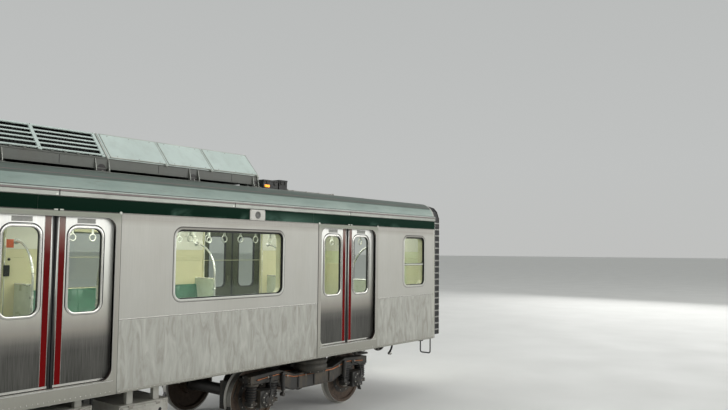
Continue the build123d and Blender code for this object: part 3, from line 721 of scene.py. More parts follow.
# near-black: painted shade, for the unit's inside behind louvres, joints and fan openings
AC_PAINTED_SHADE = paint("roof_unit_painted_shade", (20, 22, 21), (10, 11, 11), rough=(0.6, 0.8), bump=0.3, fine=60)
AC_FIN = steel("coil_fins", (70, 72, 70), (36, 37, 37), grain=(120, 1, 1), rough=(0.4, 0.6), metal=0.6)
AC_TOPM = paint("roof_unit_top", (160, 172, 166), (138, 150, 144), size=1.4, rough=(0.4, 0.6), bump=0.1, dust=((118, 114, 102), 0.5))
BLACKBOX = paint("cable_box", (50, 50, 49), (34, 34, 34), size=3, rough=(0.5, 0.7), bump=0.15, dust=((84, 80, 72), 0.4))
BOX_P = paint("equipment_box", (168, 167, 159), (140, 139, 131), size=1.6, rough=(0.4, 0.55), bump=0.1, dust=((112, 104, 90), 0.6))
BOX_D = paint("equipment_dark", (58, 58, 56), (40, 40, 39), size=2.5, rough=(0.5, 0.7), bump=0.15, dust=((94, 86, 72), 0.6))
BOGIE_P = paint("bogie_dusty", (58, 57, 54), (40, 39, 38), size=3.0, rough=(0.5, 0.75), bump=0.2, dust=((98, 86, 68), 0.7))
CAST = paint("cast_rough", (70, 69, 67), (48, 47, 46), size=6.0, rough=(0.5, 0.7), bump=0.35, metal=0.5, dust=((92, 80, 66), 0.5), dist=0.002)
BOLT = steel("bolt_steel", (168, 166, 160), (120, 116, 108), grain=(40, 40, 40), rough=(0.3, 0.45))
PIPE = paint("pipe_grey", (150, 150, 144), (118, 118, 112), size=4, rough=(0.35, 0.5), bump=0.08, metal=0.4, dust=((104, 96, 82), 0.5))
COPPER = steel("copper_pipe", (172, 112, 78), (110, 74, 54), grain=(20, 20, 20), rough=(0.35, 0.5))
CEIL = paint("ceiling_white", (232, 234, 226), (218, 221, 210), size=1.5, rough=(0.4, 0.5), bump=0.04)
CREAM = paint("cream_panel", (208, 203, 168), (198, 194, 158), size=4, rough=(0.4, 0.5), bump=0.06)
SEAT = paint("seat_green", (62, 112, 88), (48, 92, 72), size=4, rough=(0.25, 0.4), bump=0.06)
POLE = steel("pole_steel", (238, 238, 234), (216, 216, 210), grain=(2, 2, 60), rough=(0.2, 0.3), metal=0.55)
STRAP = paint("strap_white", (226, 226, 218), (206, 206, 196), size=30, rough=(0.35, 0.5), bump=0.08)
WEB = paint("strap_web", (196, 198, 188), (170, 172, 162), size=60, rough=(0.7, 0.85), bump=0.4, fine=400)
ORANGE = paint("orange_plate", (206, 92, 44), (188, 80, 38), size=30, rough=(0.4, 0.5), bump=0.05)
LED = glow_material("led_diffuser", (250, 252, 244), 3.0)
AMBER = glow_material("amber_lens", (255, 150, 40), 2.2)
SCREEN = paint("end_screen", (190, 196, 176), (172, 178, 158), size=5, rough=(0.25, 0.4), bump=0.05)
FACEPL = paint("gangway_plate", (62, 62, 60), (44, 44, 43), size=4, rough=(0.4, 0.6), bump=0.2, metal=0.5, dust=((96, 88, 74), 0.4))

cad(WALL, "left_side_wall", "right_side_wall")
cad(ROOF, "roof")
cad(UNDER, "underframe")
cad(ENDS, "end_walls")
cad(GLASS_M, "side_windows")
cad(CEIL, "ceiling")
cad(SEAT, "bench_seats")
cad(SCREEN, "seat_end_screens")
cad(POLE, "grab_poles")
cad(RUBBER_D, "gangway_bellows")
cad(RUBBER, "intercar_barriers")
cad(FACEPL, "gangway_faceplates")
cad(BLACKBOX, "roof_cable_boxes")
cad(BOX_P, "traction_inverter", "auxiliary_converter", "battery_box", "line_breaker_box")
cad(BOX_D, "air_compressor", "air_reservoirs")
cad(CAST, "front_coupler", "rear_coupler")
cad(BOGIE_P, "front_bogie_frame", "rear_bogie_frame", "front_traction_motors", "rear_traction_motors")
cad(RUBBER_D, "front_air_springs", "rear_air_springs")
cad(WHEEL, "wheelset_1", "wheelset_2", "wheelset_3", "wheelset_4")


# ------------------------------------------------------------------ door leaves
def outline(cx, w, z0, z1, rt, rb, seg=8):
    out = []
    for k, (sx, sz, r) in enumerate(((1, 1, rt), (-1, 1, rt), (-1, -1, rb), (1, -1, rb))):
        r = max(r, 0.0005)
        ox, oz = cx + sx * (w / 2 - r), (z1 - r) if sz > 0 else (z0 + r)
        for i in range(seg + 1):
            a = PI / 2 * (k + i / seg)
            out.append((ox + r * math.cos(a), oz + r * math.sin(a)))
    return out


def leaf_piece(side, c, way, name):
    g_ = Geo()
    yo, yi = side * 1.423, side * 1.387
    gu = (0.165 + 0.541) / 2
    X = lambda u: c + way * u
    cx, gw = X(gu), 0.376
    hole = (cx, gw, LEAF_GLASS[0], LEAF_GLASS[1], 0.09)
    b0, b1 = LEAF_Z
    # outer skin: nosing, narrow strip, red band, strip, panel with its window
    lo, hi = sorted((X(0.112), X(0.705)))
    g_.plate(lo, hi, b0, b1, yo, hole, 0, 10)
    for u0, u1, mi in ((0.022, 0.045, 0), (0.045, 0.112, 2)):
        g_.face([(X(u0), yo, b0), (X(u1), yo, b0), (X(u1), yo, b1), (X(u0), yo, b1)], mi)
    # beads either side of the band
    for u in (0.0435, 0.1135):
        g_.box(X(u) - 0.0022, X(u) + 0.0022, yo - side * 0.002, yo + side * 0.0022, b0 + 0.004, b1 - 0.004, 0.001, 3)
    # inner skin, edges
    lo2, hi2 = sorted((X(0.022), X(0.705)))
    g_.plate(lo2, hi2, b0, b1, yi, hole, 1, 10)
    g_.face([(X(0.705), yo, b0), (X(0.705), yi, b0), (X(0.705), yi, b1), (X(0.705), yo, b1)], 0)
    for z in (b0, b1):
        g_.face([(X(0.022), yo, z), (X(0.705), yo, z), (X(0.705), yi, z), (X(0.022), yi, z)], 0)
    # window reveal
    loops = [[(x, y, z) for x, z in rrect(cx, gw, LEAF_GLASS[0], LEAF_GLASS[1], 0.09, 10)] for y in (yo, yi)]
    g_.sweep(loops, 4)
    # rubber nosing with a rounded edge
    nose = [(X(0.0225), yo), (X(0.012), yo + side * 0.001), (X(0.0050), yo - side * 0.003), (X(0.0028), yo - side * 0.009), (X(0.0026), yi + side * 0.009),
            (X(0.0050), yi + side * 0.003), (X(0.012), yi - side * 0.001), (X(0.0225), yi)]
    g_.prism(nose, "z", b0, b1, 4)
    # chrome rim, black gasket outside it (thicker over the top, as painted shadow under the rim's head), inner rim
    s = side
    g_.ring(cx, gw, LEAF_GLASS[0], LEAF_GLASS[1], 0.09, ((0.000, yo - s * 0.003), (0.000, yo + s * 0.0035), (0.005, yo + s * 0.0055), (0.026, yo + s * 0.0055), (0.031, yo + s * 0.002), (0.031, yo - s * 0.003)), 3, seg=12)
    g_.ring(cx, gw - 0.002, LEAF_GLASS[0] + 0.008, LEAF_GLASS[1] + 0.007, 0.094, ((0.0285, yo - s * 0.002), (0.0285, yo + s * 0.0035), (0.033, yo + s * 0.004), (0.0385, yo + s * 0.003), (0.0385, yo - s * 0.002)), 4, seg=12)
    g_.ring(cx, gw, LEAF_GLASS[0], LEAF_GLASS[1], 0.09, ((-0.001, yi + s * 0.002), (-0.001, yi - s * 0.003), (0.018, yi - s * 0.003), (0.020, yi + s * 0.002)), 4, seg=12)
    # pane
    ym = (yo + yi) / 2
    pts = rrect(cx, gw - 0.003, LEAF_GLASS[0] + 0.0015, LEAF_GLASS[1] - 0.0015, 0.0885, 10)
    g_.face([(x, ym + s * 0.003, z) for x, z in pts], 5)
    # blank plate over the window, foot guide strip, two fixings
    g_.box(cx - 0.108, cx + 0.108, yo - s * 0.001, yo + s * 0.0022, 2.911, 2.964, 0.0012, 6)
    for dx in (-0.1, 0.1):
        g_.rivet((cx + dx, yo + s * 0.0020, 2.9375), (0, s, 0), 0.0035, 0.0015, 3)
    g_.box(X(0.03), X(0.70), yo - s * 0.002, yo + s * 0.002, b0 + 0.004, b0 + 0.030, 0.0015, 3)
    g_.box(X(0.03), X(0.70), yi + s * 0.002, yi - s * 0.002, b0 + 0.004, b0 + 0.110, 0.0015, 3)
    # recessed finger pull towards the meeting edge, inside
    g_.ring(X(0.085), 0.03, 1.95, 2.13, 0.014, ((0.0, yi + s * 0.001), (0.0, yi - s * 0.0025), (0.006, yi - s * 0.0025), (0.006, yi + s * 0.001)), 3, seg=4)
    return piece(name, g_, [LEAF, LEAF_IN, RED, CHROME, RUBBER, GLASS_D, PLATE_G], body=name_to_node(name), replaces=name_to_node(name))


def name_to_node(n):
    return n[len("skin_"):]


for side, sn in ((1, "left"), (-1, "right")):
    for k, c in DOORS.items():
        for way, ln in ((1, "front"), (-1, "rear")):
            leaf_piece(side, c, way, "skin_%s_door_%d_%s_leaf" % (sn, k, ln))


# ------------------------------------------------------------------ doorway surrounds
def surrounds(side):
    g_ = Geo()
    s = side
    Y = lambda d: s * d
    for c in DOORS.values():
        def loop(off, y, rt=0.11, rb=0.14, w=1.36, z0=FLOOR, z1=DOOR_TOP):
            return [(x, Y(y), z) for x, z in outline(c, w + 2 * off, z0 - off * 0.0, z1 + off, rt + max(off, 0), rb + max(off, 0), 10)]
        outer = [(x, Y(1.4815), z) for x, z in outline(c, 1.49, SOLE + 0.004, 3.035, 0.016, 0.002, 10)]
        inner = loop(0.004, 1.4815)
        g_.quadring(outer, inner, 0)
        # outside edge down to the wall, rolled inner lip, dark reveal in reddish brown: painted shade with a painted
        # reddish reflection
        g_.sweep([[(x, Y(1.473), z) for x, z in outline(c, 1.494, SOLE + 0.002, 3.037, 0.018, 0.002, 10)], outer], 0)
        g_.sweep([inner, loop(0.0015, 1.4810), loop(0.0, 1.4800)], 1)
        g_.sweep([loop(0.0, 1.4800), loop(0.0, 1.444)], 2)
        g_.sweep([loop(0.0, 1.444), loop(0.0, 1.437)], 3)
        # fill behind the rounded corners
        g_.quadring([(x, Y(1.437), z) for x, z in outline(c, 1.362, FLOOR + 0.0005, DOOR_TOP, 0.0006, 0.0006, 10)], loop(0.0, 1.437), 3)
        # dark joint line round the frame
        g_.sweep([[(x, Y(1.4765), z) for x, z in outline(c, 1.506, SOLE + 0.002, 3.043, 0.024, 0.002, 10)],
                  [(x, Y(1.4765), z) for x, z in outline(c, 1.492, SOLE + 0.002, 3.036, 0.017, 0.002, 10)]], 4)
        # step plate with its ribs and bright nose
        g_.box(c - 0.678, c + 0.678, Y(1.343), Y(1.479), FLOOR - 0.003, FLOOR + 0.0035, 0.002, 1)
        for k in range(7):
            y = 1.352 + k * 0.018
            if 1.382 < y < 1.432:
                continue
            g_.box(c - 0.64, c + 0.64, Y(y), Y(y + 0.005), FLOOR + 0.003, FLOOR + 0.0052, 0.001, 0)
        g_.box(c - 0.70, c + 0.70, Y(1.480), Y(1.4865), FLOOR - 0.012, FLOOR + 0.003, 0.002, 1)
        # guide rail in the step plate, under the leaves
        g_.box(c - 0.66, c + 0.66, Y(1.3985), Y(1.4115), FLOOR + 0.0005, FLOOR + 0.0044, 0.001, 1)
        for k in range(24):
            g_.rivet((c - 0.667 + k * 0.058, Y(1.4815), 1.036), (0, s, 0), 0.0065, 0.0035, 1)
        # drip bump over the doorway's middle, small buttons at the corners
        g_.box(c - 0.055, c + 0.055, Y(1.475), Y(1.4875), 3.038, 3.056, 0.005, 5)
        g_.lathe((c, Y(1.474), 3.047), (0, s, 0), ((0.013, 0), (0.013, 0.012), (0.009, 0.0155), (0.003, 0.0165)), 16, 6)
        for w in (-1, 1):
            g_.lathe((c + w * 0.735, Y(1.474), 3.043), (0, s, 0), ((0.018, 0), (0.018, 0.008), (0.012, 0.0115), (0.004, 0.0125)), 14, 5)
        # threshold cover inside
        g_.box(c - 0.70, c + 0.70, Y(1.334), Y(1.343), FLOOR + 0.0, FLOOR + 0.02, 0.003, 1)
    return piece("doorway_surrounds_" + ("left" if s > 0 else "right"), g_, [FRAME, CHROME, REVEAL_PAINTED_SHADE, RUBBER, DARKLINE, GUT_B, GREEN])


# ------------------------------------------------------------------ windows
def windows(side):
    g_ = Geo()
    s = side
    Y = lambda d: s * d
    for cx, w in WINDOWS:
        a = (cx, w, GLASS[0], GLASS[1], 0.095)
        g_.ring(*a, ((0.000, Y(1.470)), (0.000, Y(1.4785)), (0.004, Y(1.4835)), (0.016, Y(1.4845)), (0.027, Y(1.4810)), (0.033, Y(1.4755)), (0.033, Y(1.470))), 0, seg=14)
        g_.ring(*a, ((0.033, Y(1.472)), (0.033, Y(1.4768)), (0.038, Y(1.4768)), (0.038, Y(1.472))), 3, seg=14)
        # deep dark reveal and the rubber that holds the pane
        g_.ring(*a, ((0.0006, Y(1.4475)), (-0.0022, Y(1.4475)), (-0.0022, Y(1.476)), (0.0006, Y(1.476))), 1, seg=14)
        g_.ring(*a, ((-0.002, Y(1.4465)), (-0.013, Y(1.4465)), (-0.013, Y(1.4495)), (-0.009, Y(1.4545)), (-0.002, Y(1.4555))), 1, seg=14)
        # black strip under the head, deeper than the pane's rubber elsewhere: painted shadow of the recess
        head = rrect(cx, w, GLASS[0], GLASS[1], 0.095, 14)[:30] + rrect(cx, w, GLASS[0], GLASS[1] - 0.022, 0.095, 14)[:30][::-1]
        g_.prism(head, "y", Y(1.4470), Y(1.4560), 1)
        # inner frame
        g_.ring(*a, ((-0.006, Y(1.435)), (-0.010, Y(1.432)), (-0.004, Y(1.345)), (-0.001, Y(1.336)), (0.035, Y(1.334)), (0.040, Y(1.339)), (0.004, Y(1.339)), (-0.001, Y(1.350)), (-0.0006, Y(1.434))), 2, seg=14)
        if w < 1:
            # hopper: sash bar, its latch and the upper sash's own rubber
            g_.box(cx - w / 2 + 0.005, cx + w / 2 - 0.005, Y(1.4465), Y(1.4600), 2.376, 2.400, 0.003, 5)
            g_.box(cx - w / 2 + 0.005, cx + w / 2 - 0.005, Y(1.4462), Y(1.4540), 2.370, 2.3785, 0.002, 1)
            g_.ring(cx, w - 0.024, 2.398, GLASS[1] - 0.012, 0.084, ((0.0, Y(1.4462)), (0.0, Y(1.4520)), (-0.008, Y(1.4520)), (-0.008, Y(1.4462))), 1, seg=10)
            g_.box(cx - 0.05, cx + 0.05, Y(1.425), Y(1.4355), 2.382, 2.410, 0.003, 4)
            g_.box(cx - w / 2 + 0.005, cx + w / 2 - 0.005, Y(1.425), Y(1.4356), 2.378, 2.396, 0.003, 0)
    return piece("window_frames_" + ("left" if s > 0 else "right"), g_, [WIN_RIM, RUBBER, CREAM, DARKLINE, BOLT, GUT_B])


PANELS = ((-9.76, -7.275 - 0.752), (-7.275 + 0.752, -2.425 - 0.752), (-2.425 + 0.752, 2.425 - 0.752), (2.425 + 0.752, 7.275 - 0.752), (7.275 + 0.752, 9.76))


# ------------------------------------------------------------------ side trim: band, seams, gutter, sole strip, rivets
def side_trim(side):
    g_ = Geo()
    s = side
    Y = lambda d: s * d
    L = 9.795
    # green band, in three lengths with a fine joint
    cuts = (-L, -6.2, -2.0, 2.2, 6.4, L)
    for a, b in zip(cuts[:-1], cuts[1:]):
        a += 0.0008; b -= 0.0008
        prof = [(Y(1.4735), 3.044), (Y(1.4768), 3.0445), (Y(1.4774), 3.050), (Y(1.4774), 3.186), (Y(1.4768), 3.1905), (Y(1.4735), 3.191)]
        n = max(2, int((b - a) / 0.35))
        g_.sweep([[(a + (b - a) * i / n, y, z) for y, z in prof] for i in range(n + 1)], 0)
    # gutter lines, from the band up: pale strip, mauve, pale line, then a dark strip at the foot of the roof's rounded
    # edge, painted shadow
    def strip(prof, mi, a=-L, b=L, n=40):
        g_.sweep([[(a + (b - a) * i / n, Y(y), z) for y, z in prof] for i in range(n + 1)], mi)
    strip(((1.470, 3.1915), (1.4780, 3.1925), (1.4885, 3.1985), (1.4885, 3.2415), (1.4870, 3.2430), (1.470, 3.2430)), 1)
    strip(((1.480, 3.2430), (1.4872, 3.2430), (1.4872, 3.2465), (1.480, 3.2465)), 4)
    strip(((1.480, 3.2465), (1.4882, 3.2470), (1.4888, 3.250), (1.4888, 3.260), (1.4876, 3.264), (1.480, 3.265)), 2)
    strip(((1.478, 3.2655), (1.4890, 3.2660), (1.4900, 3.270), (1.4890, 3.2785), (1.4740, 3.2835), (1.472, 3.280)), 7)
    # dark strip at the foot of the roof's rounded edge: painted shadow
    strip(((1.458, 3.2825), (1.4740, 3.2825), (1.4700, 3.2885), (1.4590, 3.2905), (1.4555, 3.288)), 4)
    # gutter joints over the doorways
    for c in (-7.275, -4.85, -2.425, 0, 2.425, 4.85, 7.275):
        g_.box(c - 0.007, c + 0.007, Y(1.486), Y(1.4898), 3.1965, 3.262, 0.0012, 4)
        g_.box(c - 0.040, c - 0.014, Y(1.486), Y(1.4902), 3.200, 3.224, 0.0015, 3)
    for a, b in PANELS:
        a += 0.004 if a > -9.7 else 0.0
        b -= 0.004 if b < 9.7 else 0.0
        # seam over the lower panel, a rolled bead; under it a dark strip, painted shadow of the bead; the sole's bright
        # strip
        strip(((1.4745, 1.8255), (1.4765, 1.8265), (1.4772, 1.829), (1.4765, 1.8315), (1.4745, 1.8325)), 5, a, b, 8)
        strip(((1.4745, 1.8225), (1.4757, 1.8225), (1.4757, 1.8252), (1.4745, 1.8252)), 4, a, b, 8)
        strip(((1.4740, 0.9995), (1.4785, 1.0005), (1.4795, 1.006), (1.4795, 1.030), (1.4780, 1.034), (1.4740, 1.035)), 6, a, b, 8)
        k = 0
        x = a + 0.03
        while x < b - 0.02:
            g_.rivet((x, Y(1.4790), 1.017), (0, s, 0), 0.0055, 0.003, 5)
            x += 0.058
        # joint between body panels either side of the window
        strip(((1.4748, 3.0350), (1.4762, 3.0350), (1.4762, 3.0385), (1.4748, 3.0385)), 4, a, b, 8)
    return piece("side_trim_" + ("left" if s > 0 else "right"), g_, [GREEN, GUT_L, GUT_D, GUT_B, DARKLINE, CHROME, FRAME, GUT_T])


# ------------------------------------------------------------------ blank white units on the band, with their round grilles
def speakers(side):
    g_ = Geo()
    s = side
    for cx in (5.26, -5.26):
        y0 = 1.475
        def yy(d):
            return s * d
        pr = ((0.0, y0 - 0.002), (0.0, y0 + 0.010), (-0.006, y0 + 0.0135), (-0.016, y0 + 0.0145))
        loops = [[(x, yy(y), z) for x, z in rrect(cx, 0.28 + 2 * o, 3.040 - o, 3.188 + o, 0.022 + o, 6)] for o, y in pr]
        g_.sweep(loops, 0)
        g_.face(loops[-1], 0)
        g_.lathe((cx, yy(y0 + 0.0135), 3.114), (0, s, 0), ((0.052, 0), (0.052, 0.0025), (0.048, 0.0032), (0.045, 0.0012), (0.003, 0.0012)), 28, 1, cap=False)
        # dark studs in three rings for the grille's holes: painted shade
        for R, n in ((0.012, 6), (0.024, 12), (0.036, 18)):
            for k in range(n):
                a = 2 * PI * k / n
                g_.lathe((cx + R * math.cos(a), yy(y0 + 0.0138), 3.114 + R * math.sin(a)), (0, s, 0), ((0.0038, 0), (0.0038, 0.0016), (0.0028, 0.0022)), 8, 2)
        for dx in (-0.122, 0.122):
            for dz in (-0.056, 0.056):
                g_.rivet((cx + dx, yy(y0 + 0.0140), 3.114 + dz), (0, s, 0), 0.0055, 0.0025, 3)
    return piece("speaker_units_" + ("left" if s > 0 else "right"), g_, [WHITE_P, GREY_P, DARKLINE, BOLT])


for side in (1, -1):
    surrounds(side)
    windows(side)
    side_trim(side)
    speakers(side)


# ------------------------------------------------------------------ roof air-conditioning units
SL_LEN = math.hypot(0.29, 0.315)


def slope_box(g_, s, x0, x1, a0, a1, d0, d1, c=0.002, mi=0):
    """A box lying on the unit's slope: a along it from the eave in metres, d out of it."""
    def tf(p):
        t = p[1] / SL_LEN
        return (p[0], s * (1.1 - 0.29 * t + 0.736 * p[2]), 3.718 + 0.315 * t + 0.677 * p[2])
    g_.box(x0, x1, a0, a1, d0, d1, c, mi, tf=tf)


def ac_units():
    shell, louv, beam, top = Geo(), Geo(), Geo(), Geo()
    X0, X1, XL = 0.35, 5.603, 3.20
    # near-black core behind the louvres, painted shade for the unit's dark inside, with its coil; closed shell behind
    # the panels
    core = [(-1.035, 3.610), (-1.035, 3.725), (-0.765, 4.010), (0.765, 4.010), (1.035, 3.725), (1.035, 3.610)]
    shell.prism(core, "x", X0 + 0.02, XL, 0)
    body = [(-1.095, 3.612), (-1.095, 3.716), (-0.806, 4.026), (0.806, 4.026), (1.095, 3.716), (1.095, 3.612)]
    shell.prism(body, "x", XL, X1 - 0.004, 1)
    shell.prism([(-1.096, 3.700), (-1.096, 3.717), (1.096, 3.717), (1.096, 3.700)], "x", X0, XL, 2)
    shell.prism([(-1.08, 3.606), (-1.08, 3.624), (1.08, 3.624), (1.08, 3.606)], "x", X0, X1, 2)
    # end bulkheads, with pressed ribs
    for x, w in ((X0, -1), (X1, 1)):
        o = [(-1.098, 3.606), (-1.098, 3.718), (-0.809, 4.031), (0.809, 4.031), (1.098, 3.718), (1.098, 3.606)]
        shell.prism(o, "x", min(x, x - w * 0.012), max(x, x - w * 0.012), 1)
        for y in (-0.62, -0.31, 0.0, 0.31, 0.62):
            shell.box(x - w * 0.002, x + w * 0.006, y - 0.055, y + 0.055, 3.67, 3.97, 0.005, 1)
        for y in (-1.0, -0.5, 0.5, 1.0):
            shell.bolt((x, y * 0.98, 3.645), (w, 0, 0), 0.008, 0.005, 3)
    for s in (-1, 1):
        # coil behind the bars
        n = 70
        for i in range(n):
            x = X0 + 0.05 + (XL - X0 - 0.1) * i / (n - 1)
            slope_box(shell, s, x - 0.0012, x + 0.0012, 0.02, SL_LEN - 0.02, -0.050, -0.030, 0.0003, 4)
        for k in range(4):
            a = 0.06 + k * 0.1
            p = [(X0 + 0.06, s * (1.1 - 0.29 * a / SL_LEN - 0.736 * 0.058), 3.718 + 0.315 * a / SL_LEN - 0.677 * 0.058),
                 (XL - 0.04, s * (1.1 - 0.29 * a / SL_LEN - 0.736 * 0.058), 3.718 + 0.315 * a / SL_LEN - 0.677 * 0.058)]
            shell.tube(p, 0.006, 8, 5)
        # louvre frames: top and bottom rails, mullions, four bars between
        slope_box(louv, s, X0, XL - 0.03, 0.028, 0.048, -0.012, 0.006, 0.003, 0)
        slope_box(louv, s, X0, XL - 0.03, SL_LEN - 0.018, SL_LEN + 0.004, -0.012, 0.006, 0.003, 0)
        for xm in (0.372, 0.79, 1.587, 2.387, 3.150):
            slope_box(louv, s, xm - 0.021, xm + 0.021, 0.004, SL_LEN, -0.012, 0.0080, 0.003, 0)
            for a in (0.038, SL_LEN - 0.010):
                t = a / SL_LEN
                louv.bolt((xm, s * (1.1 - 0.29 * t + 0.736 * 0.0075), 3.718 + 0.315 * t + 0.677 * 0.0075), (0, s * 0.736, 0.677), 0.006, 0.003, 1)
        for i in range(4):
            a = 0.048 + (SL_LEN - 0.066) * (i + 1) / 5.0
            slope_box(louv, s, X0 + 0.01, XL - 0.04, a - 0.0105, a + 0.0105, -0.006, 0.004, 0.002, 0)
        # slots under the frame, bridged by short tabs; they show dark from the near-black core behind, painted shade
        x = X0 + 0.03
        while x < XL - 0.1:
            slope_box(beam, s, x, x + 0.034, -0.012, 0.030, -0.008, 0.001, 0.001, 0)
            x += 0.152
        # closed panels with bright turned edges
        for a, b in ((3.232, 4.030), (4.056, 4.756), (4.782, 5.598)):
            slope_box(louv, s, a, b, 0.006, SL_LEN - 0.002, -0.006, 0.007, 0.003, 2)
            for e0, e1, f0, f1 in ((a, b, 0.000, 0.009), (a, b, SL_LEN - 0.009, SL_LEN), (a, a + 0.009, 0.0, SL_LEN), (b - 0.009, b, 0.0, SL_LEN)):
                slope_box(louv, s, e0, e1, f0, f1, -0.006, 0.0105, 0.002, 3)
            for fx in (a + 0.10, (a + b) / 2, b - 0.10):
                for t in (0.06, 0.93):
                    louv.bolt((fx, s * (1.1 - 0.29 * t + 0.736 * 0.0065), 3.718 + 0.315 * t + 0.677 * 0.0065), (0, s * 0.736, 0.677), 0.0055, 0.003, 1)
            # hinge tab at the panel's foot
            slope_box(louv, s, b - 0.035, b - 0.004, -0.040, 0.004, -0.004, 0.0115, 0.002, 3)
        for x in (3.218, 4.043, 4.769):
            slope_box(louv, s, x - 0.012, x + 0.012, 0.0, SL_LEN, -0.010, 0.004, 0.001, 2)
            # thin near-black strip on one side of the joint: painted shadow
            slope_box(louv, s, x - 0.0145, x - 0.0115, 0.0, SL_LEN, -0.006, 0.0052, 0.0005, 4)
        slope_box(louv, s, 3.178, 3.200, -0.030, SL_LEN + 0.002, -0.014, 0.0125, 0.003, 3)
        # carrying beam, a channel with flanges, its joints and bolts, in dark grey painted shade
        beam.prism([(s * 1.080, 3.576), (s * 1.1075, 3.573), (s * 1.1135, 3.576), (s * 1.1135, 3.585), (s * 1.1085, 3.590), (s * 1.1085, 3.692), (s * 1.1135, 3.697), (s * 1.1135, 3.704), (s * 1.080, 3.704)], "x", X0 + 0.06, X1, 0)
        for x in (1.25, 2.60, 3.90, 5.10):
            beam.box(x - 0.004, x + 0.004, s * 1.107, s * 1.1100, 3.590, 3.692, 0.001, 1)
        for x in (3.03, 3.20, 4.37, 4.51, 5.49, 5.58, 1.83, 1.97, 0.62, 0.76):
            # gusset: a thin plate standing out of the beam, wide at its foot
            o = [(s * 1.108, 3.695), (s * 1.116, 3.695), (s * 1.150, 3.560), (s * 1.150, 3.545), (s * 1.108, 3.545)]
            beam.prism(o, "x", x - 0.0035, x + 0.0035, 3)
        for x in (0.69, 1.90, 3.115, 4.44, 5.535):
            # foot: pad plate, rubber and bolt between the gussets
            beam.box(x - 0.095, x + 0.095, s * 1.060, s * 1.156, 3.541, 3.548, 0.002, 0)
            beam.lathe((x, s * 1.130, 3.515), (0, 0, 1), ((0.028, 0), (0.034, 0.008), (0.034, 0.020), (0.028, 0.028)), 16, 4)
            beam.bolt((x, s * 1.130, 3.547), (0, 0, 1), 0.011, 0.009, 5)
            # dark disc on the beam over the foot: painted shade for an opening
            beam.lathe((x, s * 1.1080, 3.5745), (0, s, 0), ((0.058, 0), (0.058, 0.0018), (0.050, 0.0026)), 20, 1)
    # top deck: fan openings over the coil, hatches over the compressors
    top.prism([(-0.812, 4.022), (-0.812, 4.031), (-0.800, 4.0335), (0.800, 4.0335), (0.812, 4.031), (0.812, 4.022)], "x", X0, X1, 0)
    for x in (0.85, 1.775, 2.70):
        top.lathe((x, 0, 4.031), (0, 0, 1), ((0.385, 0), (0.385, 0.016), (0.372, 0.020), (0.352, 0.018), (0.345, 0.004), (0.0005, 0.004)), 48, 0, cap=False)
        # near-black disc inside the fan opening: painted shade for its depth
        top.lathe((x, 0, 4.0355), (0, 0, 1), ((0.343, 0), (0.30, 0.0006), (0.0005, 0.0006)), 40, 1, cap=False)
        for R in (0.07, 0.12, 0.17, 0.22, 0.27, 0.32):
            top.torus((x, 0, 4.052), (0, 0, 1), R, 0.0035, 36, 6, 2)
        for k in range(8):
            a = 2 * PI * k / 8
            top.tube([(x + 0.05 * math.cos(a), 0.05 * math.sin(a), 4.049), (x + 0.365 * math.cos(a), 0.365 * math.sin(a), 4.049)], 0.004, 6, 2)
        for k in range(5):      # fan blades
            a = 2 * PI * k / 5
            u, w_ = Vector((math.cos(a), math.sin(a), 0)), Vector((-math.sin(a), math.cos(a), 0))
            o = Vector((x, 0, 4.043))
            top.mesh([o + u * 0.06 - w_ * 0.03, o + u * 0.31 - w_ * 0.10, o + u * 0.32 + w_ * 0.06 + Vector((0, 0, -0.004)), o + u * 0.06 + w_ * 0.03 + Vector((0, 0, -0.004))], [(0, 1, 2, 3)], 3)
        top.lathe((x, 0, 4.038), (0, 0, 1), ((0.062, 0), (0.062, 0.012), (0.045, 0.016)), 20, 0)
    for a, b in ((3.26, 4.02), (4.07, 4.74), (4.80, 5.56)):
        for y0, y1 in ((-0.78, -0.02), (0.02, 0.78)):
            top.box(a, b, y0, y1, 4.030, 4.041, 0.004, 0)
            for bx in (a + 0.04, (a + b) / 2, b - 0.04):
                for by in (y0 + 0.04, y1 - 0.04):
                    top.bolt((bx, by, 4.0405), (0, 0, 1), 0.006, 0.004, 2)
            mx, my = (a + b) / 2, (y0 + y1) / 2
            top.tube([(mx - 0.07, my, 4.038), (mx - 0.07, my, 4.058), (mx + 0.07, my, 4.058), (mx + 0.07, my, 4.038)], 0.005, 8, 2, fillet=0.014)
    piece("roof_unit_shells", shell.turned(), [AC_PAINTED_SHADE, AC_PANEL, AC_BEAM_PAINTED_SHADE, BOLT, AC_FIN, COPPER], replaces="air_conditioning_units")
    piece("roof_unit_louvres", louv.turned(), [AC_PANEL, BOLT, AC_PANEL, GUT_B, AC_PAINTED_SHADE])
    piece("roof_unit_beams", beam.turned(), [AC_BEAM_PAINTED_SHADE, DARKLINE, AC_BEAM_PAINTED_SHADE, GUT_L, RUBBER, BOLT])
    piece("roof_unit_decks", top.turned(), [AC_TOPM, AC_PAINTED_SHADE, BOLT, BOX_D])


ac_units()


def crown_z(y):
    # the roof's crown is an arc through (1.1, 3.528) and (0, 3.598)
    R = (1.1 ** 2 + 0.07 ** 2) / (2 * 0.07)
    return 3.598 - R + math.sqrt(R * R - y * y)


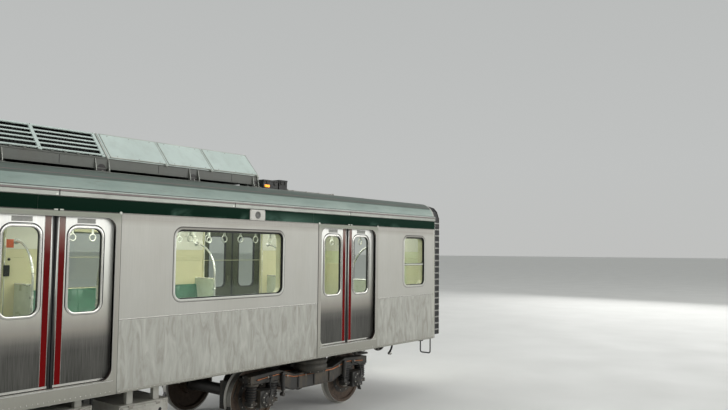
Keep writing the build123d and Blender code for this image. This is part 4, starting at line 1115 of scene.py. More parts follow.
def shoulder(t):
    """The roof's rounded edge from the gutter (t 0) to the crown (t 1): y, z and the outward normal."""
    p = [(1.460, 3.283), (1.345, 3.468), (1.100, 3.528)]
    (x1, y1), (x2, y2), (x3, y3) = p
    d = 2 * (x1 * (y2 - y3) + x2 * (y3 - y1) + x3 * (y1 - y2))
    ux = ((x1 ** 2 + y1 ** 2) * (y2 - y3) + (x2 ** 2 + y2 ** 2) * (y3 - y1) + (x3 ** 2 + y3 ** 2) * (y1 - y2)) / d
    uy = ((x1 ** 2 + y1 ** 2) * (x3 - x2) + (x2 ** 2 + y2 ** 2) * (x1 - x3) + (x3 ** 2 + y3 ** 2) * (x2 - x1)) / d
    R = math.hypot(x1 - ux, y1 - uy)
    a0, a1 = math.atan2(y1 - uy, x1 - ux), math.atan2(y3 - uy, x3 - ux)
    a = a0 + (a1 - a0) * t
    return ux + R * math.cos(a), uy + R * math.sin(a), math.cos(a), math.sin(a)


def roof_details():
    g_ = Geo()
    # two fine lines along the roof's rounded edge; the bright one at its top is a painted highlight
    def line_at(t, w_, h, mi, s):
        pr = []
        for dt, d in ((-w_, -0.001), (-w_ * 0.6, h), (w_ * 0.6, h), (w_, -0.001)):
            y, z, ny, nz = shoulder(t + dt)
            pr.append((s * (y + ny * d), z + nz * d))
        n = 30
        g_.sweep([[(-9.79 + 19.58 * i / n, y, z) for y, z in pr] for i in range(n + 1)], mi)
    for s in (-1, 1):
        line_at(0.40, 0.012, 0.0022, 1, s)
        line_at(0.86, 0.014, 0.0030, 0, s)
    # seams across the crown between the sheets, with the spot-welded bead
    x = -9.2
    while x < 9.3:
        if not (0.3 < abs(x) < 5.65):
            pts = [(y, crown_z(y)) for y in [1.08 - 2.16 * i / 24 for i in range(25)]]
            g_.sweep([[(x - 0.012, y, z - 0.002), (x - 0.008, y, z + 0.003), (x + 0.008, y, z + 0.003), (x + 0.012, y, z - 0.002)] for y, z in pts], 2)
        x += 0.92
    # corrugation along the crown outside the units
    for a, b in ((5.72, 9.74), (-9.74, -5.72), (-0.30, 0.30)):
        for k in range(-6, 7):
            y = k * 0.15
            z = crown_z(y)
            n = max(2, int((b - a) / 0.5))
            g_.sweep([[(a + (b - a) * i / n, y - 0.020, z - 0.002), (a + (b - a) * i / n, y - 0.012, z + 0.006), (a + (b - a) * i / n, y + 0.012, z + 0.006), (a + (b - a) * i / n, y + 0.020, z - 0.002)] for i in range(n + 1)], 2)
    # walkway strip between the units and the ends, on little feet
    for e in (-1, 1):
        for k in range(12):
            x = e * (6.55 + k * 0.26)
            y0 = -e * 0.10
            g_.box(x - 0.11, x + 0.11, y0 - 0.17, y0 + 0.17, 3.606, 3.616, 0.003, 3)
            for q in (-0.12, 0.12):
                g_.box(x - 0.10, x + 0.10, y0 + q - 0.012, y0 + q + 0.012, 3.590, 3.607, 0.002, 3)
            for j in range(4):
                g_.box(x - 0.10, x + 0.10, y0 - 0.135 + j * 0.08, y0 - 0.115 + j * 0.08, 3.6155, 3.6185, 0.001, 3)
        # exhaust ventilators
        for x in (6.05, 9.35):
            y0 = e * 0.55
            z0 = crown_z(0.55)
            g_.lathe((e * x, y0, z0 - 0.01), (0, 0, 1), ((0.13, 0), (0.13, 0.030), (0.105, 0.034), (0.105, 0.060), (0.145, 0.064), (0.145, 0.074), (0.06, 0.092), (0.01, 0.094)), 28, 4)
            for k in range(8):
                a = 2 * PI * k / 8
                g_.bolt((e * x + 0.118 * math.cos(a), y0 + 0.118 * math.sin(a), z0 + 0.020), (0, 0, 1), 0.0045, 0.003, 5)
        # aerial dome, lifting eyes
        g_.lathe((e * 9.30, -e * 0.10, 3.594), (0, 0, 1), ((0.085, 0), (0.085, 0.010), (0.070, 0.016), (0.060, 0.045), (0.035, 0.066), (0.004, 0.072)), 24, 4)
    for x in (-9.55, -6.35, 6.35, 9.55):
        for s in (-1, 1):
            z = crown_z(1.0)
            g_.bolt((x, s * 1.0, z + 0.007), (0, 0, 1), 0.012, 0.008, 5)
            g_.box(x - 0.045, x + 0.045, s * 1.0 - 0.022, s * 1.0 + 0.022, z - 0.006, z + 0.008, 0.003, 5)
    piece("roof_fittings", g_, [GUT_B, GUT_D, AC_TOPM, BOX_D, PLATE_G, BOLT])
    b = Geo()
    # cable boxes: lids, clips, glands and their cables; the amber lamp on the near face
    for x0, x1, y0, y1, top_ in ((5.790, 6.090, -1.020, -0.620, 3.678), (6.115, 6.285, -1.020, -0.700, 3.698), (7.600, 8.700, 0.560, 1.000, 3.678)):
        b.box(x0 - 0.006, x1 + 0.006, y0 - 0.006, y1 + 0.006, top_ - 0.022, top_ + 0.005, 0.004, 0)
        b.box(x0 + 0.04, x1 - 0.04, y0 + 0.04, y1 - 0.04, top_ + 0.004, top_ + 0.010, 0.003, 0)
        nclip = 2 if x1 - x0 < 0.5 else 5
        for k in range(nclip):
            x = x0 + (x1 - x0) * (k + 0.5) / nclip
            for y, w_ in ((y0, -1), (y1, 1)):
                b.box(x - 0.015, x + 0.015, y + w_ * 0.001, y + w_ * 0.011, top_ - 0.060, top_ - 0.008, 0.003, 0)
                b.torus((x, y + w_ * 0.010, top_ - 0.060), (1, 0, 0), 0.010, 0.0025, 14, 6, 1)
        for k in range(3 if nclip == 2 else 6):
            y = y0 + (y1 - y0) * (k + 0.5) / (3 if nclip == 2 else 6)
            b.lathe((x1 - 0.002, y, 3.632), (1, 0, 0), ((0.018, 0), (0.018, 0.012), (0.012, 0.016), (0.012, 0.022)), 12, 1)
    # amber lamp
    b.box(5.800, 5.912, -1.0255, -1.018, 3.566, 3.612, 0.003, 1)
    b.box(5.808, 5.904, -1.044, -1.024, 3.572, 3.606, 0.009, 2)
    # two conduits from the boxes to the unit, lying on the roof
    for y in (-0.93, -0.86):
        b.tube([(5.604, y, 3.640), (5.68, y, 3.640), (5.73, y, 3.620), (5.792, y, 3.620)], 0.012, 10, 3, fillet=0.03)
    b.tube([(6.286, -0.93, 3.60), (6.34, -0.93, 3.60), (6.40, -0.93, crown_z(0.93) + 0.016), (7.45, -0.93, crown_z(0.93) + 0.016)], 0.010, 10, 3, fillet=0.03)
    for x in (6.5, 6.8, 7.1, 7.4):
        b.box(x - 0.012, x + 0.012, -0.955, -0.905, crown_z(0.93) - 0.004, crown_z(0.93) + 0.028, 0.003, 1)
    b.lathe((7.45, -0.93, crown_z(0.93) - 0.01), (0, 0, 1), ((0.035, 0), (0.035, 0.03), (0.024, 0.042), (0.004, 0.045)), 16, 1)
    piece("cable_box_fittings", b.turned(), [BLACKBOX, BOLT, AMBER, PIPE])


roof_details()


# ------------------------------------------------------------------ ends: bellows, face plates, barriers, rails
def ends():
    # bellows: folds round the square passage, outside and inside
    b = Geo()

    def square(x, hy, z0, z1, r):
        return [(x, y, z) for y, z in outline(0.0, 2 * hy, z0, z1, r, r * 0.6, 6)]
    folds = 5
    prof = []
    for i in range(folds * 4 + 1):
        t = i / (folds * 4)
        d = 0.020 * (0.5 - 0.5 * math.cos(2 * PI * folds * t))
        prof.append((9.8005 + 0.147 * t, d))
    outer = [square(x, 0.830 - d, 1.060 + d, 3.206 - d, 0.10) for x, d in prof]
    inner = [square(x, 0.661 + d * 0.9, 1.105 - d * 0.4 + 0.002, 3.066 + d * 0.9, 0.030) for x, d in prof]
    b.sweep(outer + inner[::-1], 0, close=True)
    # clamping strips where the folds are held at the body
    b.sweep([square(9.8005, 0.846, 1.046, 3.222, 0.11), square(9.812, 0.846, 1.046, 3.222, 0.11), square(9.815, 0.842, 1.050, 3.218, 0.106), square(9.815, 0.822, 1.066, 3.198, 0.09), square(9.8005, 0.822, 1.066, 3.198, 0.09)], 1, close=True)
    for k in range(11):
        z = 1.20 + k * 0.19
        for y in (-0.834, 0.834):
            b.bolt((9.8145, y, z), (1, 0, 0), 0.008, 0.006, 2)
    for k in range(7):
        y = -0.66 + k * 0.22
        for z in (1.058, 3.208):
            b.bolt((9.8145, y, z), (1, 0, 0), 0.008, 0.006, 2)
    piece("bellows_folds", b.turned(), [RUBBER_D, FACEPL, BOLT], replaces="gangway_bellows")
    # face plate: bead, clamps and washers; tread on the step plate
    f = Geo()
    f.sweep([square(9.990, 0.797, 1.074, 3.174, 0.012), square(10.002, 0.790, 1.081, 3.167, 0.010), square(10.002, 0.776, 1.095, 3.153, 0.008), square(9.990, 0.770, 1.101, 3.147, 0.008)], 0, close=True)
    f.sweep([square(9.990, 0.680, 1.118, 3.088, 0.020), square(10.001, 0.676, 1.121, 3.084, 0.018), square(10.001, 0.664, 1.1165, 3.072, 0.016), square(9.990, 0.6605, 1.1155, 3.0685, 0.014)], 1, close=True)
    for s in (-1, 1):
        for z in (1.5, 2.6):
            f.lathe((9.9975, s * 0.735, z), (1, 0, 0), ((0.0115, 0), (0.026, 0.0), (0.026, 0.0035), (0.0115, 0.0045), (0.0115, 0.0)), 20, 2, cap=False)
        for z in (1.25, 2.05, 2.9):
            f.box(9.975, 10.0015, s * 0.715, s * 0.765, z - 0.06, z + 0.06, 0.004, 0)
            f.bolt((10.001, s * 0.740, z - 0.035), (1, 0, 0), 0.008, 0.005, 2)
            f.bolt((10.001, s * 0.740, z + 0.035), (1, 0, 0), 0.008, 0.005, 2)
            f.tube([(9.985, s * 0.800, z - 0.05), (9.985, s * 0.816, z - 0.05), (9.985, s * 0.816, z + 0.05), (9.985, s * 0.800, z + 0.05)], 0.006, 8, 2, fillet=0.012)
    for k in range(9):
        for j in range(3):
            f.bar((9.826 + j * 0.062, -0.50 + k * 0.125 - 0.03, 1.1485), (9.850 + j * 0.062, -0.50 + k * 0.125 + 0.03, 1.1485), 0.008, 0.0035, c=0.001, mi=2)
    f.box(9.985, 10.0015, -0.56, 0.56, 1.100, 1.1505, 0.003, 2)
    piece("gangway_clamps", f.turned(), [FACEPL, RUBBER, BOLT])
    # trim down the body's end edge, barrier ribs and its bright edge, end handrails, sockets, steps
    t = Geo()
    for s in (-1, 1):
        t.box(9.792, 9.806, s * 1.458, s * 1.4795, 1.002, 3.190, 0.003, 0)
        for k in range(13):
            t.rivet((9.8055, s * 1.466, 1.06 + k * 0.17), (1, 0, 0), 0.005, 0.003, 0)
        # barrier: raised ribs across its outer face, light grey as painted highlights, and a thin bead at its free edge
        for k in range(18):
            z = 1.130 + 0.118 * k
            t.box(9.812, 9.978, s * 1.4575, s * 1.4630, z + 0.010, z + 0.036, 0.0025, 6)
            t.box(9.812, 9.978, s * 1.4400, s * 1.4495, z + 0.050, z + 0.108, 0.004, 5)
        t.tube([(9.981, s * 1.450, 1.064), (9.981, s * 1.450, 3.250), (9.981, s * 1.402, 3.384), (9.981, s * 1.334, 3.453), (9.981, s * 1.221, 3.489), (9.981, s * 1.105, 3.511)], 0.0075, 8, 1)
        t.tube([(9.806, s * 1.450, 1.064), (9.806, s * 1.450, 3.250), (9.806, s * 1.402, 3.384), (9.806, s * 1.334, 3.453), (9.806, s * 1.221, 3.489), (9.806, s * 1.105, 3.511)], 0.0065, 8, 2)
        # handrails each side of the passage, on feet
        for y in (1.02, 1.30):
            t.tube([(9.800, s * y, 1.45), (9.858, s * y, 1.45), (9.858, s * y, 2.55), (9.800, s * y, 2.55)], 0.012, 12, 0, fillet=0.05)
            for z in (1.45, 2.0, 2.55):
                t.lathe((9.7985, s * y, z), (1, 0, 0), ((0.028, 0), (0.028, 0.005), (0.018, 0.008)), 16, 0)
            t.tube([(9.800, s * y, 2.0), (9.858, s * y, 2.0)], 0.009, 10, 0)
        # jumper sockets with lids, below the passage
        for k, y in enumerate((0.96, 1.14, 1.31)):
            t.box(9.799, 9.83, s * (y - 0.060), s * (y + 0.060), 1.08, 1.23, 0.006, 3)
            t.lathe((9.828, s * y, 1.155), (1, 0, 0), ((0.050, 0), (0.050, 0.022), (0.056, 0.026), (0.056, 0.038), (0.044, 0.044)), 24, 3)
            t.box(9.83, 9.862, s * y - 0.012, s * y + 0.012, 1.205, 1.222, 0.003, 0)
            for dy in (-0.045, 0.045):
                for dz in (-0.055, 0.055):
                    t.bolt((9.8295, s * y + dy, 1.155 + dz), (1, 0, 0), 0.006, 0.005, 0)
        # end lamps' blank covers, high up
        t.lathe((9.7985, s * 1.16, 2.86), (1, 0, 0), ((0.070, 0), (0.070, 0.012), (0.062, 0.020), (0.050, 0.022), (0.046, 0.016), (0.002, 0.016)), 28, 0, cap=False)
        # drip moulding over the doorway, roof-end flange
        # steps under the corner
        t.tube([(9.74, s * 1.20, 0.998), (9.74, s * 1.20, 0.72), (9.74, s * 1.42, 0.72), (9.74, s * 1.42, 0.998)], 0.012, 10, 3, fillet=0.04)
    t.box(9.800, 9.818, -0.92, 0.92, 3.235, 3.252, 0.004, 0)
    # pressed ribs on the end wall, beside the passage
    for s in (-1, 1):
        for z in (1.42, 1.72, 2.02, 2.32, 2.62):
            t.box(9.799, 9.806, s * 0.875, s * 1.395, z - 0.012, z + 0.012, 0.0045, 4)
    n = 24
    for a, b_ in (((0, n), 0),):
        loop = []
        for i in range(n + 1):
            y = -1.08 + 2.16 * i / n
            loop.append((y, crown_z(y)))
        t.sweep([[(9.790, y, z - 0.004), (9.790, y, z + 0.008), (9.803, y, z + 0.008), (9.803, y, z - 0.006)] for y, z in loop], 4)
    # air hoses and cock at the headstock
    for s in (-1, 1):
        y = s * 0.42
        t.tube([(9.70, y, 0.985), (9.70, y, 0.90), (9.79, y, 0.88)], 0.020, 12, 3, fillet=0.04)
        t.lathe((9.78, y, 0.88), (1, 0, 0), ((0.030, 0), (0.030, 0.03), (0.024, 0.036), (0.024, 0.052)), 16, 0)
        t.tube([(9.832, y, 0.88), (9.87, y, 0.875), (9.90, y, 0.82), (9.885, y, 0.70), (9.86, y * 0.92, 0.62), (9.90, y * 0.8, 0.585)], 0.019, 12, 5, fillet=0.05)
        t.lathe((9.90, y * 0.8, 0.585), (1, 0, 0), ((0.024, -0.01), (0.030, 0.0), (0.030, 0.03), (0.038, 0.034), (0.038, 0.05), (0.02, 0.055)), 16, 0)
    piece("end_fittings", t.turned(), [CHROME, RUBBER_D, GUT_B, BOX_D, FRAME, RUBBER, PLATE_G])


ends()


# ------------------------------------------------------------------ couplers' collars and bolts
for end, e in (("front", 1), ("rear", -1)):
    c = Geo()
    c.lathe((9.955, 0, 0.748), (1, 0, 0), ((0.148, -0.002), (0.151, 0.004), (0.151, 0.040), (0.148, 0.0455)), 40, 0, cap=False)
    c.lathe((9.90, 0, 0.748), (1, 0, 0), ((0.064, 0), (0.078, 0.010), (0.090, 0.040), (0.110, 0.0548)), 32, 0, cap=False)
    for x, r in ((9.672, 0.088), (9.745, 0.0885), (9.815, 0.088)):
        c.lathe((x, 0, 0.748), (1, 0, 0), ((r - 0.006, -0.010), (r, -0.006), (r, 0.006), (r - 0.006, 0.010)), 32, 1, cap=False)
    for k in range(8):
        a = math.radians(22.5 + 45 * k)
        y, z = 0.120 * math.cos(a), 0.748 + 0.120 * math.sin(a)
        c.lathe((9.9545, y, z), (-1, 0, 0), ((0.020, 0), (0.020, 0.004), (0.0165, 0.004), (0.0165, 0.020), (0.014, 0.0225)), 6, 1)
    c.lathe((9.30, 0, 0.834), (0, 0, 1), ((0.094, -0.002), (0.090, 0.006), (0.060, 0.008), (0.040, 0.008)), 32, 0, cap=False)
    c.tube([(9.45, 0.055, 0.80), (9.60, 0.055, 0.802), (9.66, 0.075, 0.80), (9.86, 0.088, 0.79)], 0.008, 8, 2)
    if e < 0:
        c.v = [(-p[0], -p[1], p[2]) for p in c.v]
    piece(end + "_coupler_fittings", c, [CAST, BOLT, RUBBER], body=end + "_coupler")


# ------------------------------------------------------------------ bogies
def bogie(end, e):
    b = Geo()
    cx = 6.9
    AX = 0.458
    for s in (-1, 1):
        yo = s * 1.075
        # side frame: weld-on flanges along the top and bottom edge, stiffener plates
        top = [(-1.33, 0.800), (-0.76, 0.830), (-0.43, 0.720), (0.43, 0.720), (0.76, 0.830), (1.33, 0.800)]
        for (xa, za), (xb, zb) in zip(top[:-1], top[1:]):
            b.bar((cx + xa, s * 0.990, za + 0.001), (cx + xb, s * 0.990, zb + 0.001), 0.184, 0.012, c=0.003, mi=0)
        bot = [(-1.33, 0.690), (-0.86, 0.690), (-0.76, 0.640), (-0.48, 0.500), (0.48, 0.500), (0.76, 0.640), (0.86, 0.690), (1.33, 0.690)]
        for (xa, za), (xb, zb) in zip(bot[:-1], bot[1:]):
            b.bar((cx + xa, s * 0.990, za - 0.001), (cx + xb, s * 0.990, zb - 0.001), 0.184, 0.012, c=0.003, mi=0)
        for x in (-0.36, 0.0, 0.36):
            b.box(cx + x - 0.006, cx + x + 0.006, yo, yo + s * 0.018, 0.515, 0.705, 0.003, 0)
        for way in (-1, 1):
            x = cx + way * 1.05
            # axle box cover with its bolts and cable, cast shoulders
            b.lathe((x, s * 1.116, AX), (0, s, 0), ((0.128, -0.012), (0.128, 0.004), (0.118, 0.012), (0.112, 0.012)), 36, 1, cap=False)
            b.lathe((x, s * 1.118, AX), (0, s, 0), ((0.113, 0.0), (0.113, 0.018), (0.104, 0.026), (0.062, 0.030), (0.056, 0.040), (0.020, 0.044)), 36, 1)
            for k in range(8):
                a = 2 * PI * (k + 0.5) / 8
                b.bolt((x + 0.092 * math.cos(a), s * 1.143, AX + 0.092 * math.sin(a)), (0, s, 0), 0.010, 0.009, 3)
            for w in (-1, 1):
                # chevron rubber stacks: steel and rubber layers on each side
                for i in range(6):
                    z = AX - 0.010 + i * 0.038
                    r = 0.084 - abs(i - 2.5) * 0.003
                    b.lathe((x + w * 0.20, s * 0.995, z), (0, 0, 1), ((0.063, 0), (r, 0.003), (r + 0.003, 0.013), (r, 0.023), (0.063, 0.026)), 22, 2, cap=False)
                    b.lathe((x + w * 0.20, s * 0.995, z + 0.027), (0, 0, 1), ((0.063, 0), (0.090, 0.001), (0.090, 0.009), (0.063, 0.010)), 22, 1, cap=False)
                b.lathe((x + w * 0.20, s * 0.995, 0.660), (0, 0, 1), ((0.063, 0), (0.108, 0.0), (0.108, 0.028), (0.063, 0.032)), 24, 0, cap=False)
                b.lathe((x + w * 0.20, s * 0.995, AX - 0.110), (0, 0, 1), ((0.030, 0), (0.050, 0.004), (0.050, 0.022), (0.064, 0.026)), 18, 3, cap=False)
                b.box(x + w * 0.20 - 0.07, x + w * 0.20 + 0.07, s * 1.058, s * 1.068, AX - 0.082, AX - 0.028, 0.004, 1)
                for q in (-0.045, 0.045):
                    b.bolt((x + w * 0.20 + q, s * 1.0675, AX - 0.055), (0, s, 0), 0.009, 0.008, 3)
            # cable from the axle end to the frame
            b.tube([(x + 0.010, s * 1.158, AX + 0.02), (x + 0.03, s * 1.168, AX + 0.12), (x + 0.02, s * 1.150, AX + 0.24), (x - way * 0.10, s * 1.090, AX + 0.30)], 0.009, 8, 2, fillet=0.04)
            b.box(x - way * 0.10 - 0.03, x - way * 0.10 + 0.03, yo - s * 0.002, yo + s * 0.026, AX + 0.27, AX + 0.32, 0.004, 1)
            # vertical damper beside the axle box
            dx = x + way * 0.135 * 0
            q = x - way * 0.335
            b.lathe((q, s * 1.108, 0.470), (0, 0, 1), ((0.016, 0), (0.016, 0.06), (0.030, 0.062), (0.030, 0.20), (0.036, 0.205), (0.036, 0.29), (0.016, 0.295)), 18, 1)
            for zz in (0.470, 0.770):
                b.lathe((q, s * 1.070, zz), (0, s, 0), ((0.030, 0), (0.030, 0.060), (0.018, 0.064)), 18, 0)
            # brake cylinder on the unit, with its bell and pipe
            bx = x - way * 0.61
            b.lathe((bx, s * 0.918, 0.61), (0, s, 0), ((0.075, -0.006), (0.075, 0.006), (0.060, 0.012)), 24, 1, cap=False)
            b.tube([(bx, s * 0.86, 0.702), (bx, s * 0.86, 0.735), (bx + way * 0.10, s * 0.86, 0.745), (cx + way * 0.20, s * 0.86, 0.745)], 0.008, 8, 4, fillet=0.03)
            # frame end cap with its bolts
            b.box(cx + way * 1.326, cx + way * 1.342, s * 0.898, s * 1.082, 0.684, 0.806, 0.004, 0)
            for z in (0.71, 0.78):
                for y in (0.93, 1.05):
                    b.bolt((cx + way * 1.341, s * y, z), (way, 0, 0), 0.009, 0.008, 3)
            # guard iron at the outer ends, and its bracket
            b.bar((cx + way * 1.30, s * 0.765, 0.74), (cx + way * 1.545, s * 0.765, 0.16), 0.075, 0.016, up=(1, 0, 0.4), c=0.003, mi=0)
            b.bar((cx + way * 1.30, s * 0.765, 0.74), (cx + way * 1.30, s * 0.93, 0.74), 0.06, 0.05, c=0.004, mi=0)
        # air pipe along the side frame, with clips
        b.tube([(cx - 1.22, s * 1.083, 0.742), (cx - 0.80, s * 1.083, 0.775), (cx - 0.44, s * 1.083, 0.690), (cx + 0.44, s * 1.083, 0.690), (cx + 0.80, s * 1.083, 0.775), (cx + 1.22, s * 1.083, 0.742)], 0.009, 8, 4, fillet=0.06)
        for x in (-1.0, -0.6, -0.2, 0.2, 0.6, 1.0):
            z = 0.690 if abs(x) < 0.44 else 0.690 + (abs(x) - 0.44) / 0.36 * 0.085 if abs(x) < 0.8 else 0.775 - (abs(x) - 0.8) / 0.42 * 0.033
            b.box(cx + x - 0.012, cx + x + 0.012, yo - s * 0.002, yo + s * 0.020, z - 0.018, z + 0.018, 0.003, 3)
        # lateral damper on the transom
        b.tube([(cx + 0.28, s * 0.30, 0.735), (cx + 0.28, s * 0.62, 0.735)], 0.032, 16, 1)
        b.tube([(cx + 0.28, s * 0.62, 0.735), (cx + 0.28, s * 0.80, 0.735)], 0.014, 12, 3)
        b.box(cx + 0.245, cx + 0.315, s * 0.78, s * 0.83, 0.66, 0.76, 0.005, 0)
        b.box(cx + 0.245, cx + 0.315, s * 0.27, s * 0.31, 0.66, 0.76, 0.005, 0)
        # air spring seats
        b.lathe((cx, s * 0.990, 0.716), (0, 0, 1), ((0.248, 0), (0.248, 0.006), (0.232, 0.008)), 40, 1, cap=False)
    if e < 0:
        b.v = [(-p[0], -p[1], p[2]) for p in b.v]
    piece(end + "_bogie_fittings", b, [BOGIE_P, CAST, RUBBER, BOLT, COPPER], body=end + "_bogie")
    a = Geo()
    for s in (-1, 1):
        # air spring: three rolls of rubber between its plates
        prof = [(0.2315, 0.7225), (0.238, 0.7225), (0.238, 0.742), (0.246, 0.748), (0.264, 0.766), (0.2745, 0.792), (0.272, 0.818), (0.258, 0.836),
                (0.253, 0.842), (0.258, 0.848), (0.272, 0.866), (0.2745, 0.890), (0.262, 0.914), (0.244, 0.930), (0.238, 0.934), (0.238, 0.9535), (0.2315, 0.9535)]
        a.lathe((cx, s * 0.990, 0), (0, 0, 1), [(0.05, 0.7225)] + prof + [(0.05, 0.9535)], 48, 0)
        for z in (0.7245, 0.9415):
            a.lathe((cx, s * 0.990, z), (0, 0, 1), ((0.236, 0), (0.2425, 0.001), (0.2425, 0.010), (0.236, 0.011)), 48, 1, cap=False)
        for k in range(12):
            q = 2 * PI * (k + 0.5) / 12
            a.bolt((cx + 0.2415 * math.cos(q), s * 0.990 + 0.2415 * math.sin(q), 0.7300), (math.cos(q), math.sin(q), 0), 0.006, 0.005, 2)
    if e < 0:
        a.v = [(-p[0], -p[1], p[2]) for p in a.v]
    piece(end + "_air_spring_rolls", a, [RUBBER_D, FACEPL, BOLT], body=end + "_bogie", replaces=end + "_air_springs")
    m = Geo()
    for way in (-1, 1):
        x = cx + way * 0.52
        y0, y1 = way * -0.25, way * 0.33
        for k in range(9):
            y = y0 + (y1 - y0) * (0.14 + 0.09 * k)
            m.lathe((x, y, 0.450), (0, 1, 0), ((0.2145, -0.009), (0.2195, -0.006), (0.2195, 0.006), (0.2145, 0.009)), 40, 0, cap=False)
        m.lathe((x, y0, 0.450), (0, -way, 0), ((0.205, -0.002), (0.205, 0.010), (0.150, 0.022), (0.070, 0.026), (0.060, 0.040), (0.02, 0.042)), 32, 0)
        for k in range(8):
            q = 2 * PI * (k + 0.5) / 8
            m.bolt((x + 0.182 * math.cos(q), y0 - way * 0.012, 0.450 + 0.182 * math.sin(q)), (0, -way, 0), 0.009, 0.008, 1)
        m.box(x - 0.10, x + 0.10, (y0 + y1) / 2 - 0.12, (y0 + y1) / 2 + 0.12, 0.655, 0.672, 0.005, 0)
        gx0, gx1 = cx + way * 0.42, cx + way * 1.29
        m.box(gx0, gx1, way * 0.425, way * 0.441, 0.246, 0.660, 0.004, 0)
        for k in range(7):
            xx = gx0 + (gx1 - gx0) * (k + 0.5) / 7
            m.bolt((xx, way * 0.441, 0.6555 - 0.012), (0, 0, 1), 0.008, 0.022, 1)
    if e < 0:
        m.v = [(-p[0], -p[1], p[2]) for p in m.v]
    piece(end + "_motor_ribs", m, [BOGIE_P, BOLT], body=end + "_bogie")


for end, e in (("front", 1), ("rear", -1)):
    bogie(end, e)


# ------------------------------------------------------------------ wheelsets: hub bolts, rings on the brake discs, journal collars
for nm, ax in AXLES.items():
    wgeo = Geo()
    for s in (-1, 1):
        for k in range(10):
            q = 2 * PI * k / 10
            wgeo.bolt((ax + 0.235 * math.cos(q), s * 0.792, 0.458 + 0.235 * math.sin(q)), (0, s, 0), 0.012, 0.013, 0)
        wgeo.lathe((ax, s * 0.790, 0.458), (0, s, 0), ((0.200, 0.004), (0.203, 0.010), (0.270, 0.009), (0.274, 0.002)), 40, 1, cap=False)
        wgeo.lathe((ax, s * 0.811, 0.458), (0, s, 0), ((0.148, 0), (0.148, 0.004), (0.128, 0.008), (0.102, 0.008)), 36, 1, cap=False)
        wgeo.lathe((ax, s * 0.600, 0.458), (0, s, 0), ((0.0965, -0.012), (0.108, -0.008), (0.108, 0.008), (0.0965, 0.012)), 28, 1, cap=False)
    piece(nm + "_bolts", wgeo, [BOLT, CAST], body=nm)


# ------------------------------------------------------------------ equipment under the floor
def lid(g_, x0, x1, y, s, z0, z1, mi=0, latch=True, bolts=1, hinge=True):
    """A raised cover on a box's side, with its turned edge, hinges, latches and handle."""
    g_.box(x0, x1, y - s * 0.002, y + s * 0.012, z0, z1, 0.004, mi)
    g_.box(x0 + 0.030, x1 - 0.030, y + s * 0.010, y + s * 0.0165, z0 + 0.030, z1 - 0.030, 0.004, mi)
    if hinge:
        for x in (x0 + (x1 - x0) * 0.2, x0 + (x1 - x0) * 0.8):
            g_.tube([(x - 0.035, y + s * 0.014, z1 + 0.003), (x + 0.035, y + s * 0.014, z1 + 0.003)], 0.007, 8, bolts)
            g_.box(x - 0.03, x + 0.03, y + s * 0.010, y + s * 0.0155, z1 - 0.03, z1 + 0.002, 0.002, bolts)
    if latch:
        for x in (x0 + (x1 - x0) * 0.25, x0 + (x1 - x0) * 0.75):
            g_.lathe((x, y + s * 0.012, z0 + 0.045), (0, s, 0), ((0.020, 0), (0.020, 0.005), (0.014, 0.008), (0.006, 0.009)), 16, bolts)
            g_.box(x - 0.004, x + 0.004, y + s * 0.018, y + s * 0.026, z0 + 0.030, z0 + 0.060, 0.0015, bolts)
    for x in (x0 + 0.015, (x0 + x1) / 2, x1 - 0.015):
        for z in (z0 + 0.015, z1 - 0.015):
            g_.bolt((x, y + s * 0.0115, z), (0, s, 0), 0.006, 0.004, bolts)


